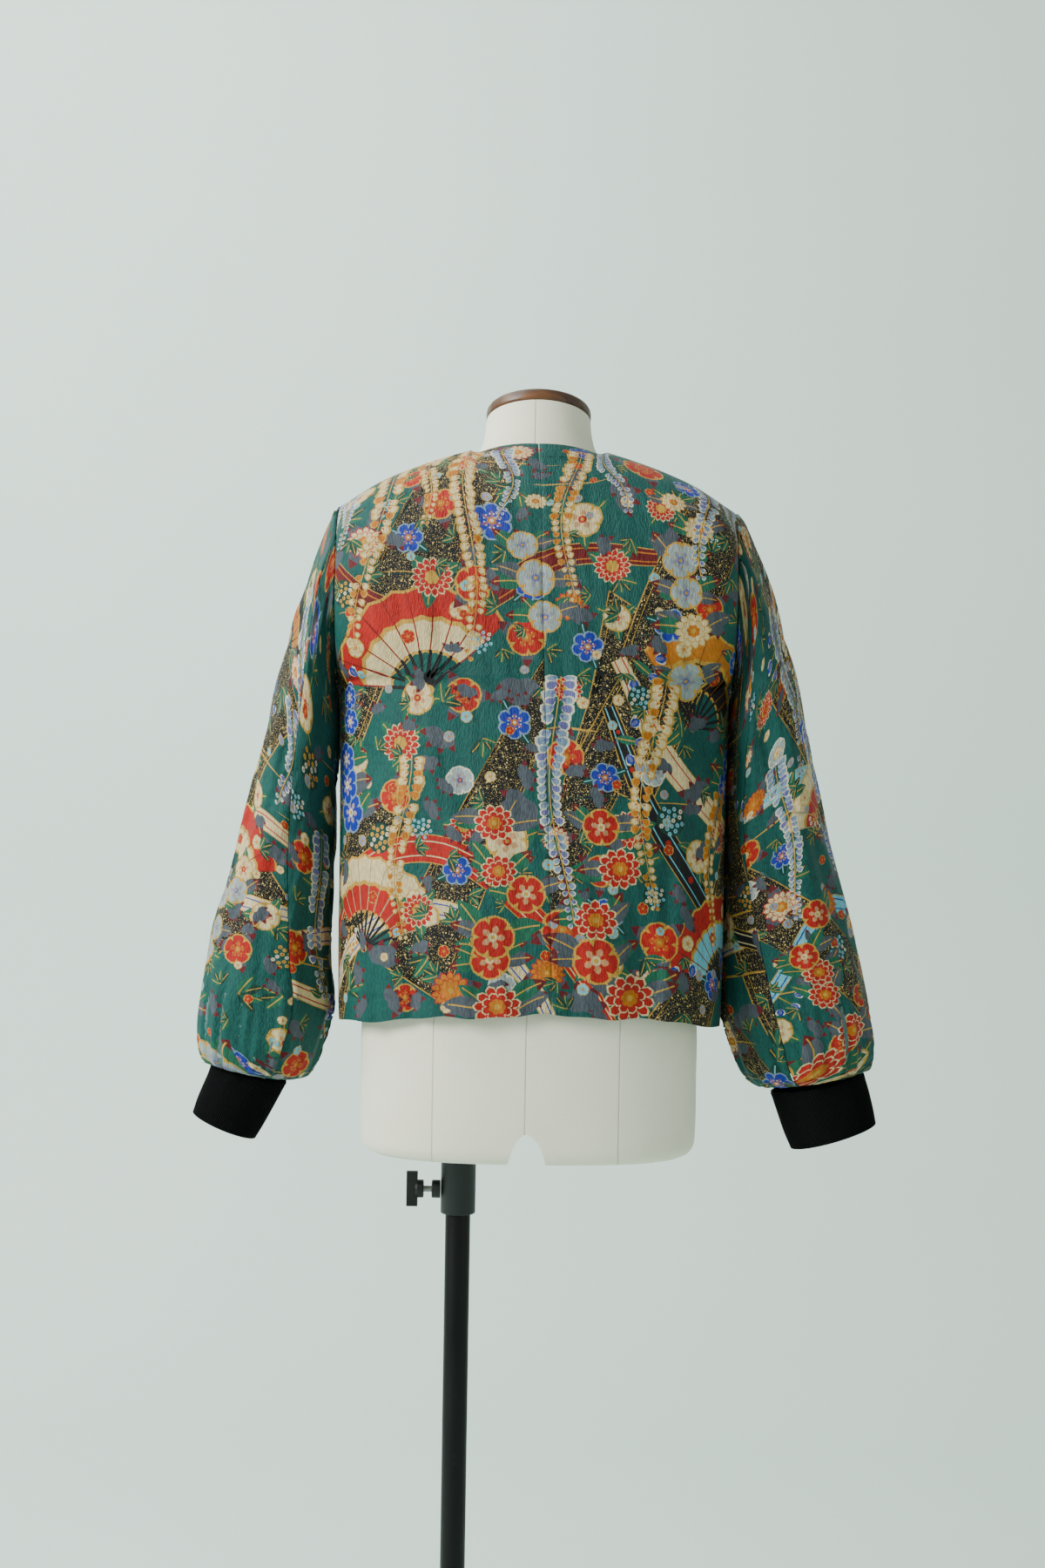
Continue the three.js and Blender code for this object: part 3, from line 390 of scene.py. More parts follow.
class Panel:
    """A cut piece: surface (U, Q) in flat millimetres. U runs across (0..width),
    Q along (0..length); row_width() gives each row's real width, by which real flat distances are turned into U."""

    def __init__(self, name, raw, a0, a1, v1, turn, step_u=121, step_v=161, p_sign=1.0):
        self.name, self.raw, self.turn = name, raw, turn
        av = np.linspace(0, 1, step_u)
        vv = np.linspace(0, 1, step_v)
        A, V = np.meshgrid(av, vv)
        self.a_of = lambda a, v: mix(a0(v), a1(v), a)
        P = raw(self.a_of(A, V * v1), V * v1, False)
        seg = np.linalg.norm(np.diff(P, axis=1), axis=-1)
        arc = np.concatenate([np.zeros((step_v, 1)), np.cumsum(seg, 1)], 1)
        self.row = arc[:, -1]                        # real width at each row
        self.width = float(self.row.max())
        # length along the middle line
        mid = P[:, step_u // 2]
        down = np.concatenate([[0], np.cumsum(np.linalg.norm(np.diff(mid, axis=0), axis=-1))])
        self.length = float(down[-1])
        self.down = down
        self.vv = vv * v1
        share = arc / self.row[:, None]
        self.n_u = 201
        us = np.linspace(0, 1, self.n_u)
        self.inv = np.stack([np.interp(us, share[j], av) for j in range(step_v)])
        self.area = float((0.5 * (self.row[1:] + self.row[:-1]) * np.diff(down)).sum()) * 1e-6

    def v(self, Q):
        return np.interp(Q, self.down, self.vv)

    def row_width(self, Q):
        return np.interp(Q, self.down, self.row)

    def at(self, U, Q, fine=True):
        U, Q = np.broadcast_arrays(np.asarray(U, float), np.asarray(Q, float))
        s = np.clip(U / self.width, 0, 1) * (self.n_u - 1)
        jf = np.interp(Q, self.down, np.arange(len(self.down)))
        i0 = np.clip(np.floor(s).astype(int), 0, self.n_u - 2)
        j0 = np.clip(np.floor(jf).astype(int), 0, len(self.down) - 2)
        fs, fj = s - i0, jf - j0
        a = (self.inv[j0, i0] * (1 - fs) + self.inv[j0, i0 + 1] * fs) * (1 - fj) \
            + (self.inv[j0 + 1, i0] * (1 - fs) + self.inv[j0 + 1, i0 + 1] * fs) * fj
        v = self.v(Q)
        return self.raw(self.a_of(a, v), v, fine)

    def normals(self, U, Q, fine=True, e=0.9):
        u0, u1 = np.clip(U - e, 0, self.width), np.clip(U + e, 0, self.width)
        q0, q1 = np.clip(Q - e, 0, self.length), np.clip(Q + e, 0, self.length)
        du = self.at(u1, Q, fine) - self.at(u0, Q, fine)
        dq = self.at(U, q1, fine) - self.at(U, q0, fine)
        n = np.cross(du, dq) * self.turn
        return n / np.maximum(np.linalg.norm(n, axis=-1, keepdims=True), 1e-9)


# ------------------------------------------------------------------ print: a generic design
TEAL = srgb(0, 76, 70)
BLACK = srgb(8, 8, 11)
PAL = {
    'teal': TEAL, 'tealdark': srgb(0, 52, 52), 'black': BLACK,
    'red': srgb(168, 22, 10), 'reddark': srgb(98, 8, 12), 'cream': srgb(206, 186, 138), 'white': srgb(206, 200, 176),
    'pale': srgb(116, 138, 160), 'mist': srgb(146, 158, 156), 'blue': srgb(14, 44, 150), 'bluedark': srgb(16, 34, 110),
    'gold': srgb(184, 142, 54), 'amber': srgb(178, 104, 16), 'green': srgb(16, 90, 66), 'greendark': srgb(4, 56, 44),
    'grey': srgb(70, 78, 86), 'maroon': srgb(96, 14, 22), 'aqua': srgb(104, 180, 194), 'plum': srgb(92, 66, 116),
    'lilac': srgb(96, 98, 150),
}
SHAPES = {}


def tint(c, k):
    return tuple(min(1.0, v * k) for v in c)


def between(a, b, f):
    return tuple(x + (y - x) * f for x, y in zip(a, b))


class Design:
    """Polygons in painter's order, in flat millimetres (p across, q up)."""

    def __init__(self, seed):
        self.rng = np.random.RandomState(seed)
        self.items = []          # (points, colour, fleck)

    def add(self, pts, colour, fleck=0.0):
        self.items.append((np.asarray(pts, float), PAL[colour] if isinstance(colour, str) else colour, fleck))

    def place(self, pts, x, y, s=1.0, r=0.0):
        c, n = math.cos(r), math.sin(r)
        pts = np.asarray(pts, float) * s
        return np.stack([x + pts[:, 0] * c - pts[:, 1] * n, y + pts[:, 0] * n + pts[:, 1] * c], 1)

    def disc(self, x, y, r, colour, n=8, fleck=0.0, ry=None, rot=0.0):
        t = np.arange(n) / n * 2 * math.pi
        self.add(self.place(np.stack([r * np.cos(t), (ry or r) * np.sin(t)], 1), x, y, 1, rot), colour, fleck)

    def petal(self, x, y, r, ang, w=0.8, notch=0.0, n=9):
        t = np.linspace(0, 2 * math.pi, n, endpoint=False)
        u = 0.5 - 0.5 * np.cos(t)             # 0 at the root
        px = r * (0.06 + 0.94 * u) * (1 - notch * np.exp(-((t - math.pi) / 0.35) ** 2))
        py = r * w * 0.5 * np.sin(t) * (0.45 + 0.75 * u)
        return self.place(np.stack([px, py], 1), x, y, 1, ang)

    def blossom(self, x, y, r, petals=5, rot=0.0, main='cream', rim='red', heart='red', notch=0.14, dots='gold', w=1.15):
        for k in range(petals):
            a = rot + k * 2 * math.pi / petals
            self.add(self.petal(x, y, r, a, w, notch), rim)
        for k in range(petals):
            a = rot + k * 2 * math.pi / petals
            self.add(self.petal(x + r * .05 * math.cos(a), y + r * .05 * math.sin(a), r * 0.86, a, w * 0.86, notch), main)
            self.add(self.petal(x, y, r * 0.52, a, w * 0.45, 0, 8),
                     between(PAL[main], PAL[heart], 0.45))
        self.disc(x, y, r * 0.2, heart, 8)
        if r > 9:
            for k in range(petals * 2):
                a = rot + (k + .5) * math.pi / petals
                self.disc(x + r * .36 * math.cos(a), y + r * .36 * math.sin(a), max(0.55, r * .045), dots, 5)
        self.disc(x, y, r * 0.1, dots, 6)

    def leaf(self, x, y, l, ang, main='green', vein='gold', tip=None, w=0.42, curve=0.0):
        t = np.linspace(0, 1, 8)
        half = w * l * 0.5 * np.sin(np.pi * t ** 0.8) ** 0.9
        cx, cy = l * t, curve * l * t * (1 - t)
        up = np.stack([cx, cy + half], 1)
        dn = np.stack([cx, cy - half], 1)[::-1][1:-1]
        self.add(self.place(np.concatenate([up, dn]), x, y, 1, ang), main)
        if tip:
            m = t > 0.62
            up = np.stack([cx[m], cy[m] + half[m] * .96], 1)
            dn = np.stack([cx[m], cy[m] - half[m] * .96], 1)[::-1][1:]
            self.add(self.place(np.concatenate([up, dn]), x, y, 1, ang), tip)
        if vein:
            k = 0.012 * l + 0.22
            v = np.concatenate([np.stack([cx[:-1], cy[:-1] + k], 1), np.stack([cx[:-1], cy[:-1] - k], 1)[::-1]])
            self.add(self.place(v, x, y, 1, ang), vein)

    def chrysanth(self, x, y, r, main='cream', rim='red', heart='amber', n=14, rot=0.0, squash=1.0):
        for rr, cc, k in ((1.0, rim, n), (0.92, main, n), (0.66, rim, n - 3), (0.6, main, n - 3), (0.36, heart, 7)):
            for i in range(k):
                a = rot + i * 2 * math.pi / k + (0.2 if rr < .7 else 0)
                p = self.petal(0, 0, r * rr, a, 2.3 / k * 2.4 * (0.92 if cc == main else 1), 0, 8)
                p[:, 1] *= squash
                self.add(p + [x, y], cc)
        self.disc(x, y, r * .13, 'gold', 7)

    def spray(self, x, y, length, main='pale', shade='lilac', rim='white', lean=0.0, size=7.0):
        """A hanging spray: paired petals swaying down a stem to small buds."""
        n = int(length / (size * 0.62))
        sway, ph = size * self.rng.uniform(.5, 1.1), self.rng.uniform(0, 6)
        last = None
        for i in range(n):
            f = i / max(1, n - 1)
            cy = y - length * f
            cx = x + lean * length * f + sway * math.sin(ph + f * 5.5)
            if last is not None:
                self.add([(last[0] - .5, last[1]), (last[0] + .5, last[1]), (cx + .5, cy), (cx - .5, cy)], 'gold')
            last = (cx, cy)
            s = size * (1.12 - 0.72 * f) * self.rng.uniform(.86, 1.14)
            for sg in (-1, 1):
                if self.rng.rand() < .1:
                    continue
                a = -math.pi / 2 + sg * (1.05 + .3 * self.rng.rand() - .35 * f)
                ox = sg * s * .18
                self.add(self.petal(cx + ox, cy, s * 1.2, a, .98, 0, 8), rim)
                self.add(self.petal(cx + ox, cy, s * 1.02, a, .8, 0, 8), main if self.rng.rand() < .7 else shade)
                self.add(self.petal(cx + ox, cy, s * .5, a, .5, 0, 6), shade)

    def cluster(self, x, y, r, col='gold', n=16, base=None):
        """A head of tiny florets."""
        if base:
            self.disc(x, y, r * 1.02, base, 14)
        for i in range(n):
            rr = r * math.sqrt((i + .5) / n) * .92
            a = i * 2.39996
            cx, cy = x + rr * math.cos(a), y + rr * math.sin(a)
            self.disc(cx, cy, r * .16, 'white' if i % 4 == 0 else col, 6)
            self.disc(cx, cy, r * .06, 'red' if i % 3 else 'amber', 4)

    def band(self, pts, widths, colour, fleck=0.0, edge=None, edge_w=1.0):
        """A ribbon along a line of points."""
        p = np.asarray(pts, float)
        t = np.linspace(0, len(p) - 1, max(12, len(p) * 7))
        i = np.clip(t.astype(int), 0, len(p) - 2)
        f = t - i
        # Catmull-Rom
        q = np.concatenate([[2 * p[0] - p[1]], p, [2 * p[-1] - p[-2]]])
        a, b, c, d = q[i], q[i + 1], q[i + 2], q[i + 3]
        f = f[:, None]
        line = 0.5 * (2 * b + (c - a) * f + (2 * a - 5 * b + 4 * c - d) * f ** 2 + (3 * b - a - 3 * c + d) * f ** 3)
        w = np.interp(t, np.linspace(0, len(p) - 1, len(widths)), widths)
        g = np.gradient(line, axis=0)
        g /= np.linalg.norm(g, axis=1, keepdims=True) + 1e-9
        nrm = np.stack([-g[:, 1], g[:, 0]], 1)
        if edge:
            self.quads(line + nrm * (w * .5 + edge_w)[:, None], line - nrm * (w * .5 + edge_w)[:, None], edge)
        self.quads(line + nrm * (w * .5)[:, None], line - nrm * (w * .5)[:, None], colour, fleck)
        return line, nrm, w

    def quads(self, one_side, other, colour, fleck=0.0):
        for j in range(len(one_side) - 1):
            self.add([one_side[j], one_side[j + 1], other[j + 1], other[j]], colour, fleck)

    def ribbon(self, pts, widths, main, edge='gold', stripes=None, dots=None, fleck=0.0):
        line, nrm, w = self.band(pts, widths, main, fleck, edge, 0.9)
        if stripes:
            for k in (-.27, .27):
                self.quads(line + nrm * (w * k + .6)[:, None], line + nrm * (w * k - .6)[:, None], stripes)
        if dots:
            for j in range(2, len(line) - 2, 3):
                x, y = line[j]
                self.disc(x, y, max(1.0, w[j] * .16), dots, 7)

    def fan(self, x, y, r, ang, spread=2.2, leaf1='red', leaf2='cream', rib='black', ribs=9, inner=0.42, half=0.72):
        """An open folding fan: pleated leaf in two bands over bare ribs."""
        a0 = ang - spread / 2
        seg = ribs * 2
        t = a0 + np.linspace(0, spread, seg + 1)
        zig = 1 + 0.018 * ((np.arange(seg + 1) % 2) * 2 - 1)
        def arc(k):
            return np.stack([x + r * k * zig * np.cos(t), y + r * k * zig * np.sin(t)], 1)
        self.add(np.concatenate([arc(1.03), arc(inner - .03)[::-1]]), 'gold')
        self.add(np.concatenate([arc(1.0), arc(half)[::-1]]), leaf1)
        self.add(np.concatenate([arc(half), arc(inner)[::-1]]), leaf2)
        self.add(np.concatenate([arc(half + .025), arc(half - .02)[::-1]]), 'gold')
        for j in range(0, seg + 1, 2):
            c, s = math.cos(t[j]), math.sin(t[j])
            n = np.array([-s, c])
            for (k0, k1, wd, col) in ((inner, 1.0, .007, between(PAL[leaf1], PAL['black'], .45)), (0.03, inner, .016, PAL[rib])):
                p0, p1 = np.array([x + r * k0 * c, y + r * k0 * s]), np.array([x + r * k1 * c, y + r * k1 * s])
                self.add([p0 + n * wd * r, p1 + n * wd * r, p1 - n * wd * r, p0 - n * wd * r], col)
        self.disc(x, y, r * .05, 'gold', 8)
        # small blossoms on the leaf
        for k, f in enumerate((.2, .5, .8)):
            aa = a0 + spread * f
            rr = r * (.86 if k % 2 == 0 else .58)
            self.blossom(x + rr * math.cos(aa), y + rr * math.sin(aa), r * (.1 if k % 2 == 0 else .075), 5, aa,
                         'cream' if k % 2 == 0 else 'red', 'gold', 'amber', 0.1)

    def haze(self, x, y, length, thick=2.0, colour='gold'):
        t = np.linspace(0, 1, 9)
        h = thick * np.sin(np.pi * t) ** .6 * .5
        up = np.stack([x + length * (t - .5), y + h + 1.2 * np.sin(t * 5)], 1)
        dn = np.stack([x + length * (t - .5), y - h * .6 + 1.2 * np.sin(t * 5)], 1)[::-1][1:-1]
        self.add(np.concatenate([up, dn]), colour, 0.5)


def stamp(d, kind, x, y, s, rng, rot=None):
    """One motif group of about radius s."""
    r = rng.uniform(0, 6.28) if rot is None else rot
    if kind == 'redflower':
        for k in range(3):
            d.leaf(x, y, s * 1.55, r + k * 2.1 + .5, 'grey', None, 'maroon', .5, .1)
        d.blossom(x, y, s, 5, r, 'red', 'gold', 'amber', .16)
    elif kind == 'creamflower':
        for k in range(3):
            d.leaf(x, y, s * 1.6, r + k * 2.1, 'green', 'gold', None, .45, -.1)
        d.blossom(x, y, s, 5, r, 'cream', 'gold', 'red', .14)
    elif kind == 'blueflower':
        for k in range(2):
            d.leaf(x, y, s * 1.6, r + k * 3.0 + .6, 'greendark', 'aqua', None, .45)
        d.blossom(x, y, s, 6, r, 'blue', 'pale', 'amber', .05, 'white', .9)
    elif kind == 'mum':
        for k in range(3):
            d.leaf(x, y, s * 1.5, r + k * 2.2, 'grey', None, 'maroon', .55)
        d.chrysanth(x, y, s, 'cream' if rng.rand() < .6 else 'amber', 'red', 'amber', 14, r, rng.uniform(.8, 1))
    elif kind == 'redmum':
        for k in range(3):
            d.leaf(x, y, s * 1.5, r + k * 2.2, 'green', 'gold', None, .5)
        d.chrysanth(x, y, s, 'red', 'cream', 'gold', 15, r, .95)
    elif kind == 'leaves':
        for k in range(4):
            d.leaf(x, y, s * rng.uniform(1.1, 1.7), r + (k - 1.5) * .62, 'green' if k % 2 else 'greendark', 'gold', None, .42, .1)
    elif kind == 'greyleaves':
        for k in range(4):
            d.leaf(x, y, s * rng.uniform(1.1, 1.6), r + (k - 1.5) * .7, 'grey', None, 'maroon', .5, .1)
    elif kind == 'cluster':
        d.cluster(x, y, s * .8, 'gold' if rng.rand() < .5 else 'aqua', 17, 'greendark' if rng.rand() < .5 else None)
    elif kind == 'bells':
        d.leaf(x, y, s * 1.5, r, 'green', 'gold', None, .3)
        for k in range(3):
            a = r + (k - 1) * .8
            cx, cy = x + s * 1.0 * math.cos(a), y + s * 1.0 * math.sin(a)
            for sg in (-.35, .35, 0):
                d.add(d.petal(cx, cy, s * .62, a + sg, .62, 0, 8), 'white' if sg else 'blue')
                d.add(d.petal(cx, cy, s * .5, a + sg, .48, 0, 8), 'blue' if sg else 'lilac')
    elif kind == 'palebloom':
        d.blossom(x, y, s, 5, r, 'mist', 'white', 'plum', .12, 'amber')
    elif kind == 'small':
        d.blossom(x, y, s * .5, 5, r, ['cream', 'pale', 'red', 'aqua'][rng.randint(4)], 'gold', 'amber', .1)


def scatter(d, area, gap, kinds, weights, size, rng, keep_off=()):
    """Groups at least gap apart inside area = (p0, q0, p1, q1)."""
    placed = []
    p0, q0, p1, q1 = area
    tries = int((p1 - p0) * (q1 - q0) / gap ** 2 * 12)
    for _ in range(tries):
        x, y = rng.uniform(p0, p1), rng.uniform(q0, q1)
        if any((x - a) ** 2 + (y - b) ** 2 < gap ** 2 for a, b in placed):
            continue
        if any((x - a) ** 2 + (y - b) ** 2 < r ** 2 for a, b, r in keep_off):
            continue
        placed.append((x, y))
        stamp(d, kinds[rng.choice(len(kinds), p=weights)], x, y, rng.uniform(*size), rng)
    return placed


def dark_field(d, pts, fleck=1.0):
    d.add(pts, 'black', fleck)


def edging(d, pts, col='gold', w=0.9):
    p = np.asarray(pts, float)
    n = len(p)
    for i in range(n):
        a, b = p[i], p[(i + 1) % n]
        v = b - a
        L = np.linalg.norm(v)
        if L < 1e-6:
            continue
        m = np.array([-v[1], v[0]]) / L * w / 2
        d.add([a + m, b + m, b - m, a - m], col)


KINDS = ['redflower', 'creamflower', 'blueflower', 'mum', 'redmum', 'leaves', 'greyleaves', 'cluster', 'bells', 'palebloom']


def drift(d, x, q0, q1, size, rng, tone, lean=0.0, step=1.15):
    """A full column of large flowers and leaves, as a climbing branch."""
    q = q0
    while q < q1:
        f = (q - q0) / (q1 - q0)
        s = size * (1.0 - .35 * f) * rng.uniform(.85, 1.15)
        cx = x + lean * (q - q0) + rng.uniform(-1.0, 1.0) * size
        for sg in (-1, 1):
            for k in range(2):
                d.leaf(cx + sg * s * .5, q + rng.uniform(-.3, .3) * s, s * rng.uniform(1.3, 1.8),
                       math.pi / 2 - sg * rng.uniform(.5, 1.7), 'grey' if rng.rand() < .5 else 'green', 'gold', 'maroon' if rng.rand() < .5 else None, .5, sg * .15)
        if tone == 'red':
            if rng.rand() < .6:
                d.chrysanth(cx, q, s, 'red', 'cream', 'amber', 11, rng.uniform(0, 6), .9)
            else:
                d.blossom(cx, q, s, 5, rng.uniform(0, 6), 'red', 'gold', 'cream', .14)
        elif tone == 'pale':
            if rng.rand() < .5:
                d.blossom(cx, q, s, 5, rng.uniform(0, 6), 'mist', 'gold', 'lilac', .12)
            else:
                d.chrysanth(cx, q, s, 'cream', 'gold', 'amber', 12, rng.uniform(0, 6), .92)
        else:
            d.blossom(cx, q, s, 6, rng.uniform(0, 6), 'blue', 'pale', 'white', .06, 'gold', .95)
        q += s * step * rng.uniform(.8, 1.9)
        if rng.rand() < .22:
            q += s * 1.2


def fields(d, rows):
    """Slanting dark fields with gold flecks and thin gold lines."""
    for x, y, w, l, s in rows:
        ux, uy = np.array([math.cos(s), math.sin(s)]), np.array([-math.sin(s), math.cos(s)])
        o = np.array([x, y])
        pts = [o - ux * l / 2 - uy * w / 2, o + ux * l / 2 - uy * w / 2, o + ux * l / 2 + uy * w / 2, o - ux * l / 2 + uy * w / 2]
        d.add(pts, 'black', 1.0)
        edging(d, pts, 'gold', 1.2)
        inner = [o - ux * l / 2 - uy * (w / 2 - 6), o + ux * l / 2 - uy * (w / 2 - 6), o + ux * l / 2 + uy * (w / 2 - 6), o - ux * l / 2 + uy * (w / 2 - 6)]
        edging(d, inner, 'gold', 0.7)


def back_design():
    d = Design(5)
    rng = np.random.RandomState(77)
    fields(d, [(-165, 410, 92, 470, 1.05), (-20, 215, 78, 430, 1.0), (150, 400, 84, 400, 1.1), (215, 120, 74, 330, 1.0), (-225, 90, 70, 260, 1.1)])
    for k in range(30):
        d.haze(rng.uniform(-260, 260), rng.uniform(20, 600), rng.uniform(50, 150), rng.uniform(1.2, 3.2), 'gold' if rng.rand() < .6 else 'tealdark')
    # sweeping ribbons
    d.ribbon([(-290, 40), (-200, 140), (-100, 160), (-10, 90), (60, -10)], [18, 24, 26, 20, 12], 'red', 'gold', 'cream')
    d.ribbon([(-290, 0), (-180, 90), (-90, 100), (-20, 30), (10, -40)], [14, 18, 18, 14, 10], 'cream', 'gold', 'blue')
    d.ribbon([(70, 350), (120, 250), (200, 190), (290, 180)], [14, 24, 24, 18], 'cream', 'gold', 'red')
    d.ribbon([(60, 300), (100, 200), (170, 110), (250, 60), (300, 20)], [12, 20, 24, 20, 14], 'black', 'gold', 'aqua', 'red')
    d.ribbon([(-250, 480), (-160, 400), (-70, 400), (20, 450), (110, 450)], [14, 22, 24, 22, 14], 'reddark', 'gold', 'amber')
    fans = [(-110, 315, 100, 1.9, 2.3, 'red', 'cream'), (150, 285, 92, 1.1, 2.2, 'amber', 'black'), (-190, 70, 86, 1.3, 2.1, 'cream', 'red'), (200, 40, 84, 2.0, 2.0, 'red', 'aqua')]
    for f in fans:
        d.fan(*f)
    off = [(x + r * .7 * math.cos(a), y + r * .7 * math.sin(a), r * .5) for x, y, r, a, sp, l1, l2 in fans]
    scatter(d, (-275, 5, 275, 600), 40, KINDS, [.17, .14, .11, .12, .08, .1, .09, .09, .05, .05], (14, 22), rng, off)
    scatter(d, (-275, 5, 275, 600), 25, ['small', 'leaves', 'greyleaves'], [.4, .3, .3], (9, 13), rng, off)
    # full columns
    drift(d, -46, 10, 250, 25, rng, 'red', .04)
    drift(d, 62, 20, 210, 27, rng, 'red', -.05)
    drift(d, 128, 330, 520, 23, rng, 'pale', .05)
    drift(d, -205, 200, 330, 20, rng, 'blue', .03)
    drift(d, 222, 230, 370, 20, rng, 'blue', -.03)
    drift(d, -8, 390, 520, 19, rng, 'pale', -.1)
    # hanging sprays
    for x, y, l, sz in ((-232, 600, 190, 11), (-196, 590, 130, 9), (-160, 600, 240, 12), (-118, 600, 120, 9), (-72, 600, 250, 12), (-30, 600, 110, 8.5),
                        (34, 600, 190, 11), (78, 604, 110, 9), (108, 330, 220, 11.5), (172, 604, 170, 11), (208, 600, 120, 9), (240, 600, 210, 11),
                        (8, 330, 240, 12), (-136, 250, 170, 10), (186, 230, 150, 10), (-246, 330, 150, 10)):
        d.spray(x, y, l, *(('pale', 'lilac', 'white') if rng.rand() < .62 else ('cream', 'amber', 'gold')), lean=rng.uniform(-.1, .1), size=sz)
    return d


def plain_design(seed, p0, p1, q1, spray_n=5, fans=()):
    d = Design(seed)
    rng = np.random.RandomState(seed * 7 + 3)
    w = p1 - p0
    fields(d, [(rng.uniform(p0 + 30, p1 - 30), 70 + k * 190 + rng.uniform(-20, 20), rng.uniform(58, 84), w * 1.5, 1.05 + rng.uniform(-.15, .15))
               for k in range(max(2, int(q1 / 190)))])
    for k in range(int(w * q1 / 9000)):
        d.haze(rng.uniform(p0, p1), rng.uniform(10, q1), rng.uniform(40, 110), rng.uniform(1.2, 3), 'gold' if rng.rand() < .7 else 'tealdark')
    for k in range(2):
        y0 = rng.uniform(.15, .7) * q1
        d.ribbon([(p0 - 20, y0), (p0 + w * .3, y0 + rng.uniform(-60, 60)), (p0 + w * .7, y0 + rng.uniform(-90, 60)), (p1 + 20, y0 + rng.uniform(-120, 40))],
                 [12, 18, 18, 12], ['red', 'aqua', 'cream', 'black'][rng.randint(4)], 'gold', ['cream', 'red', 'blue', 'amber'][rng.randint(4)])
    off = []
    for x, y, r, a, sp, l1, l2 in fans:
        d.fan(x, y, r, a, sp, l1, l2)
        off.append((x + r * .7 * math.cos(a), y + r * .7 * math.sin(a), r * .5))
    scatter(d, (p0, 0, p1, q1), 40, KINDS, [.16, .15, .12, .12, .08, .1, .09, .08, .05, .05], (13, 20), rng, off)
    scatter(d, (p0, 0, p1, q1), 25, ['small', 'leaves', 'greyleaves'], [.4, .3, .3], (9, 12), rng, off)
    drift(d, p0 + w * rng.uniform(.25, .75), 10, q1 * .34, 22, rng, ['red', 'blue', 'pale'][seed % 3], .05)
    drift(d, p0 + w * rng.uniform(.2, .8), q1 * .4, q1 * .68, 20, rng, ['blue', 'pale', 'red'][seed % 3], -.05)
    for k in range(spray_n):
        d.spray(rng.uniform(p0 + 10, p1 - 10), q1 - rng.uniform(-10, 260), rng.uniform(110, 210),
                *(('pale', 'lilac', 'white') if rng.rand() < .6 else ('cream', 'amber', 'white')), lean=rng.uniform(-.12, .12), size=rng.uniform(9, 11.5))
    return d


# ------------------------------------------------------------------ printed cloth
def paint(points, outlines):
    """The topmost outline over each point (-1 for none), by crossing counts."""
    order = np.argsort(points[:, 1], kind='stable')
    ys, xs = points[order, 1], points[order, 0]
    top = -np.ones(len(points), int)
    for k, o in enumerate(outlines):
        lo, hi = o.min(0), o.max(0)
        a, b = np.searchsorted(ys, lo[1]), np.searchsorted(ys, hi[1])
        if a >= b:
            continue
        m = np.nonzero((xs[a:b] >= lo[0]) & (xs[a:b] <= hi[0]))[0] + a
        if not len(m):
            continue
        X, Y = xs[m][:, None], ys[m][:, None]
        x0, y0 = o[:, 0], o[:, 1]
        x1, y1 = np.roll(x0, -1), np.roll(y0, -1)
        dy = np.where(np.abs(y1 - y0) < 1e-12, 1e-12, y1 - y0)
        c = ((y0 > Y) != (y1 > Y)) & (X < (x1 - x0) * (Y - y0) / dy + x0)
        top[m[c.sum(1) % 2 == 1]] = k
    out = np.empty(len(points), int)
    out[order] = top
    return out


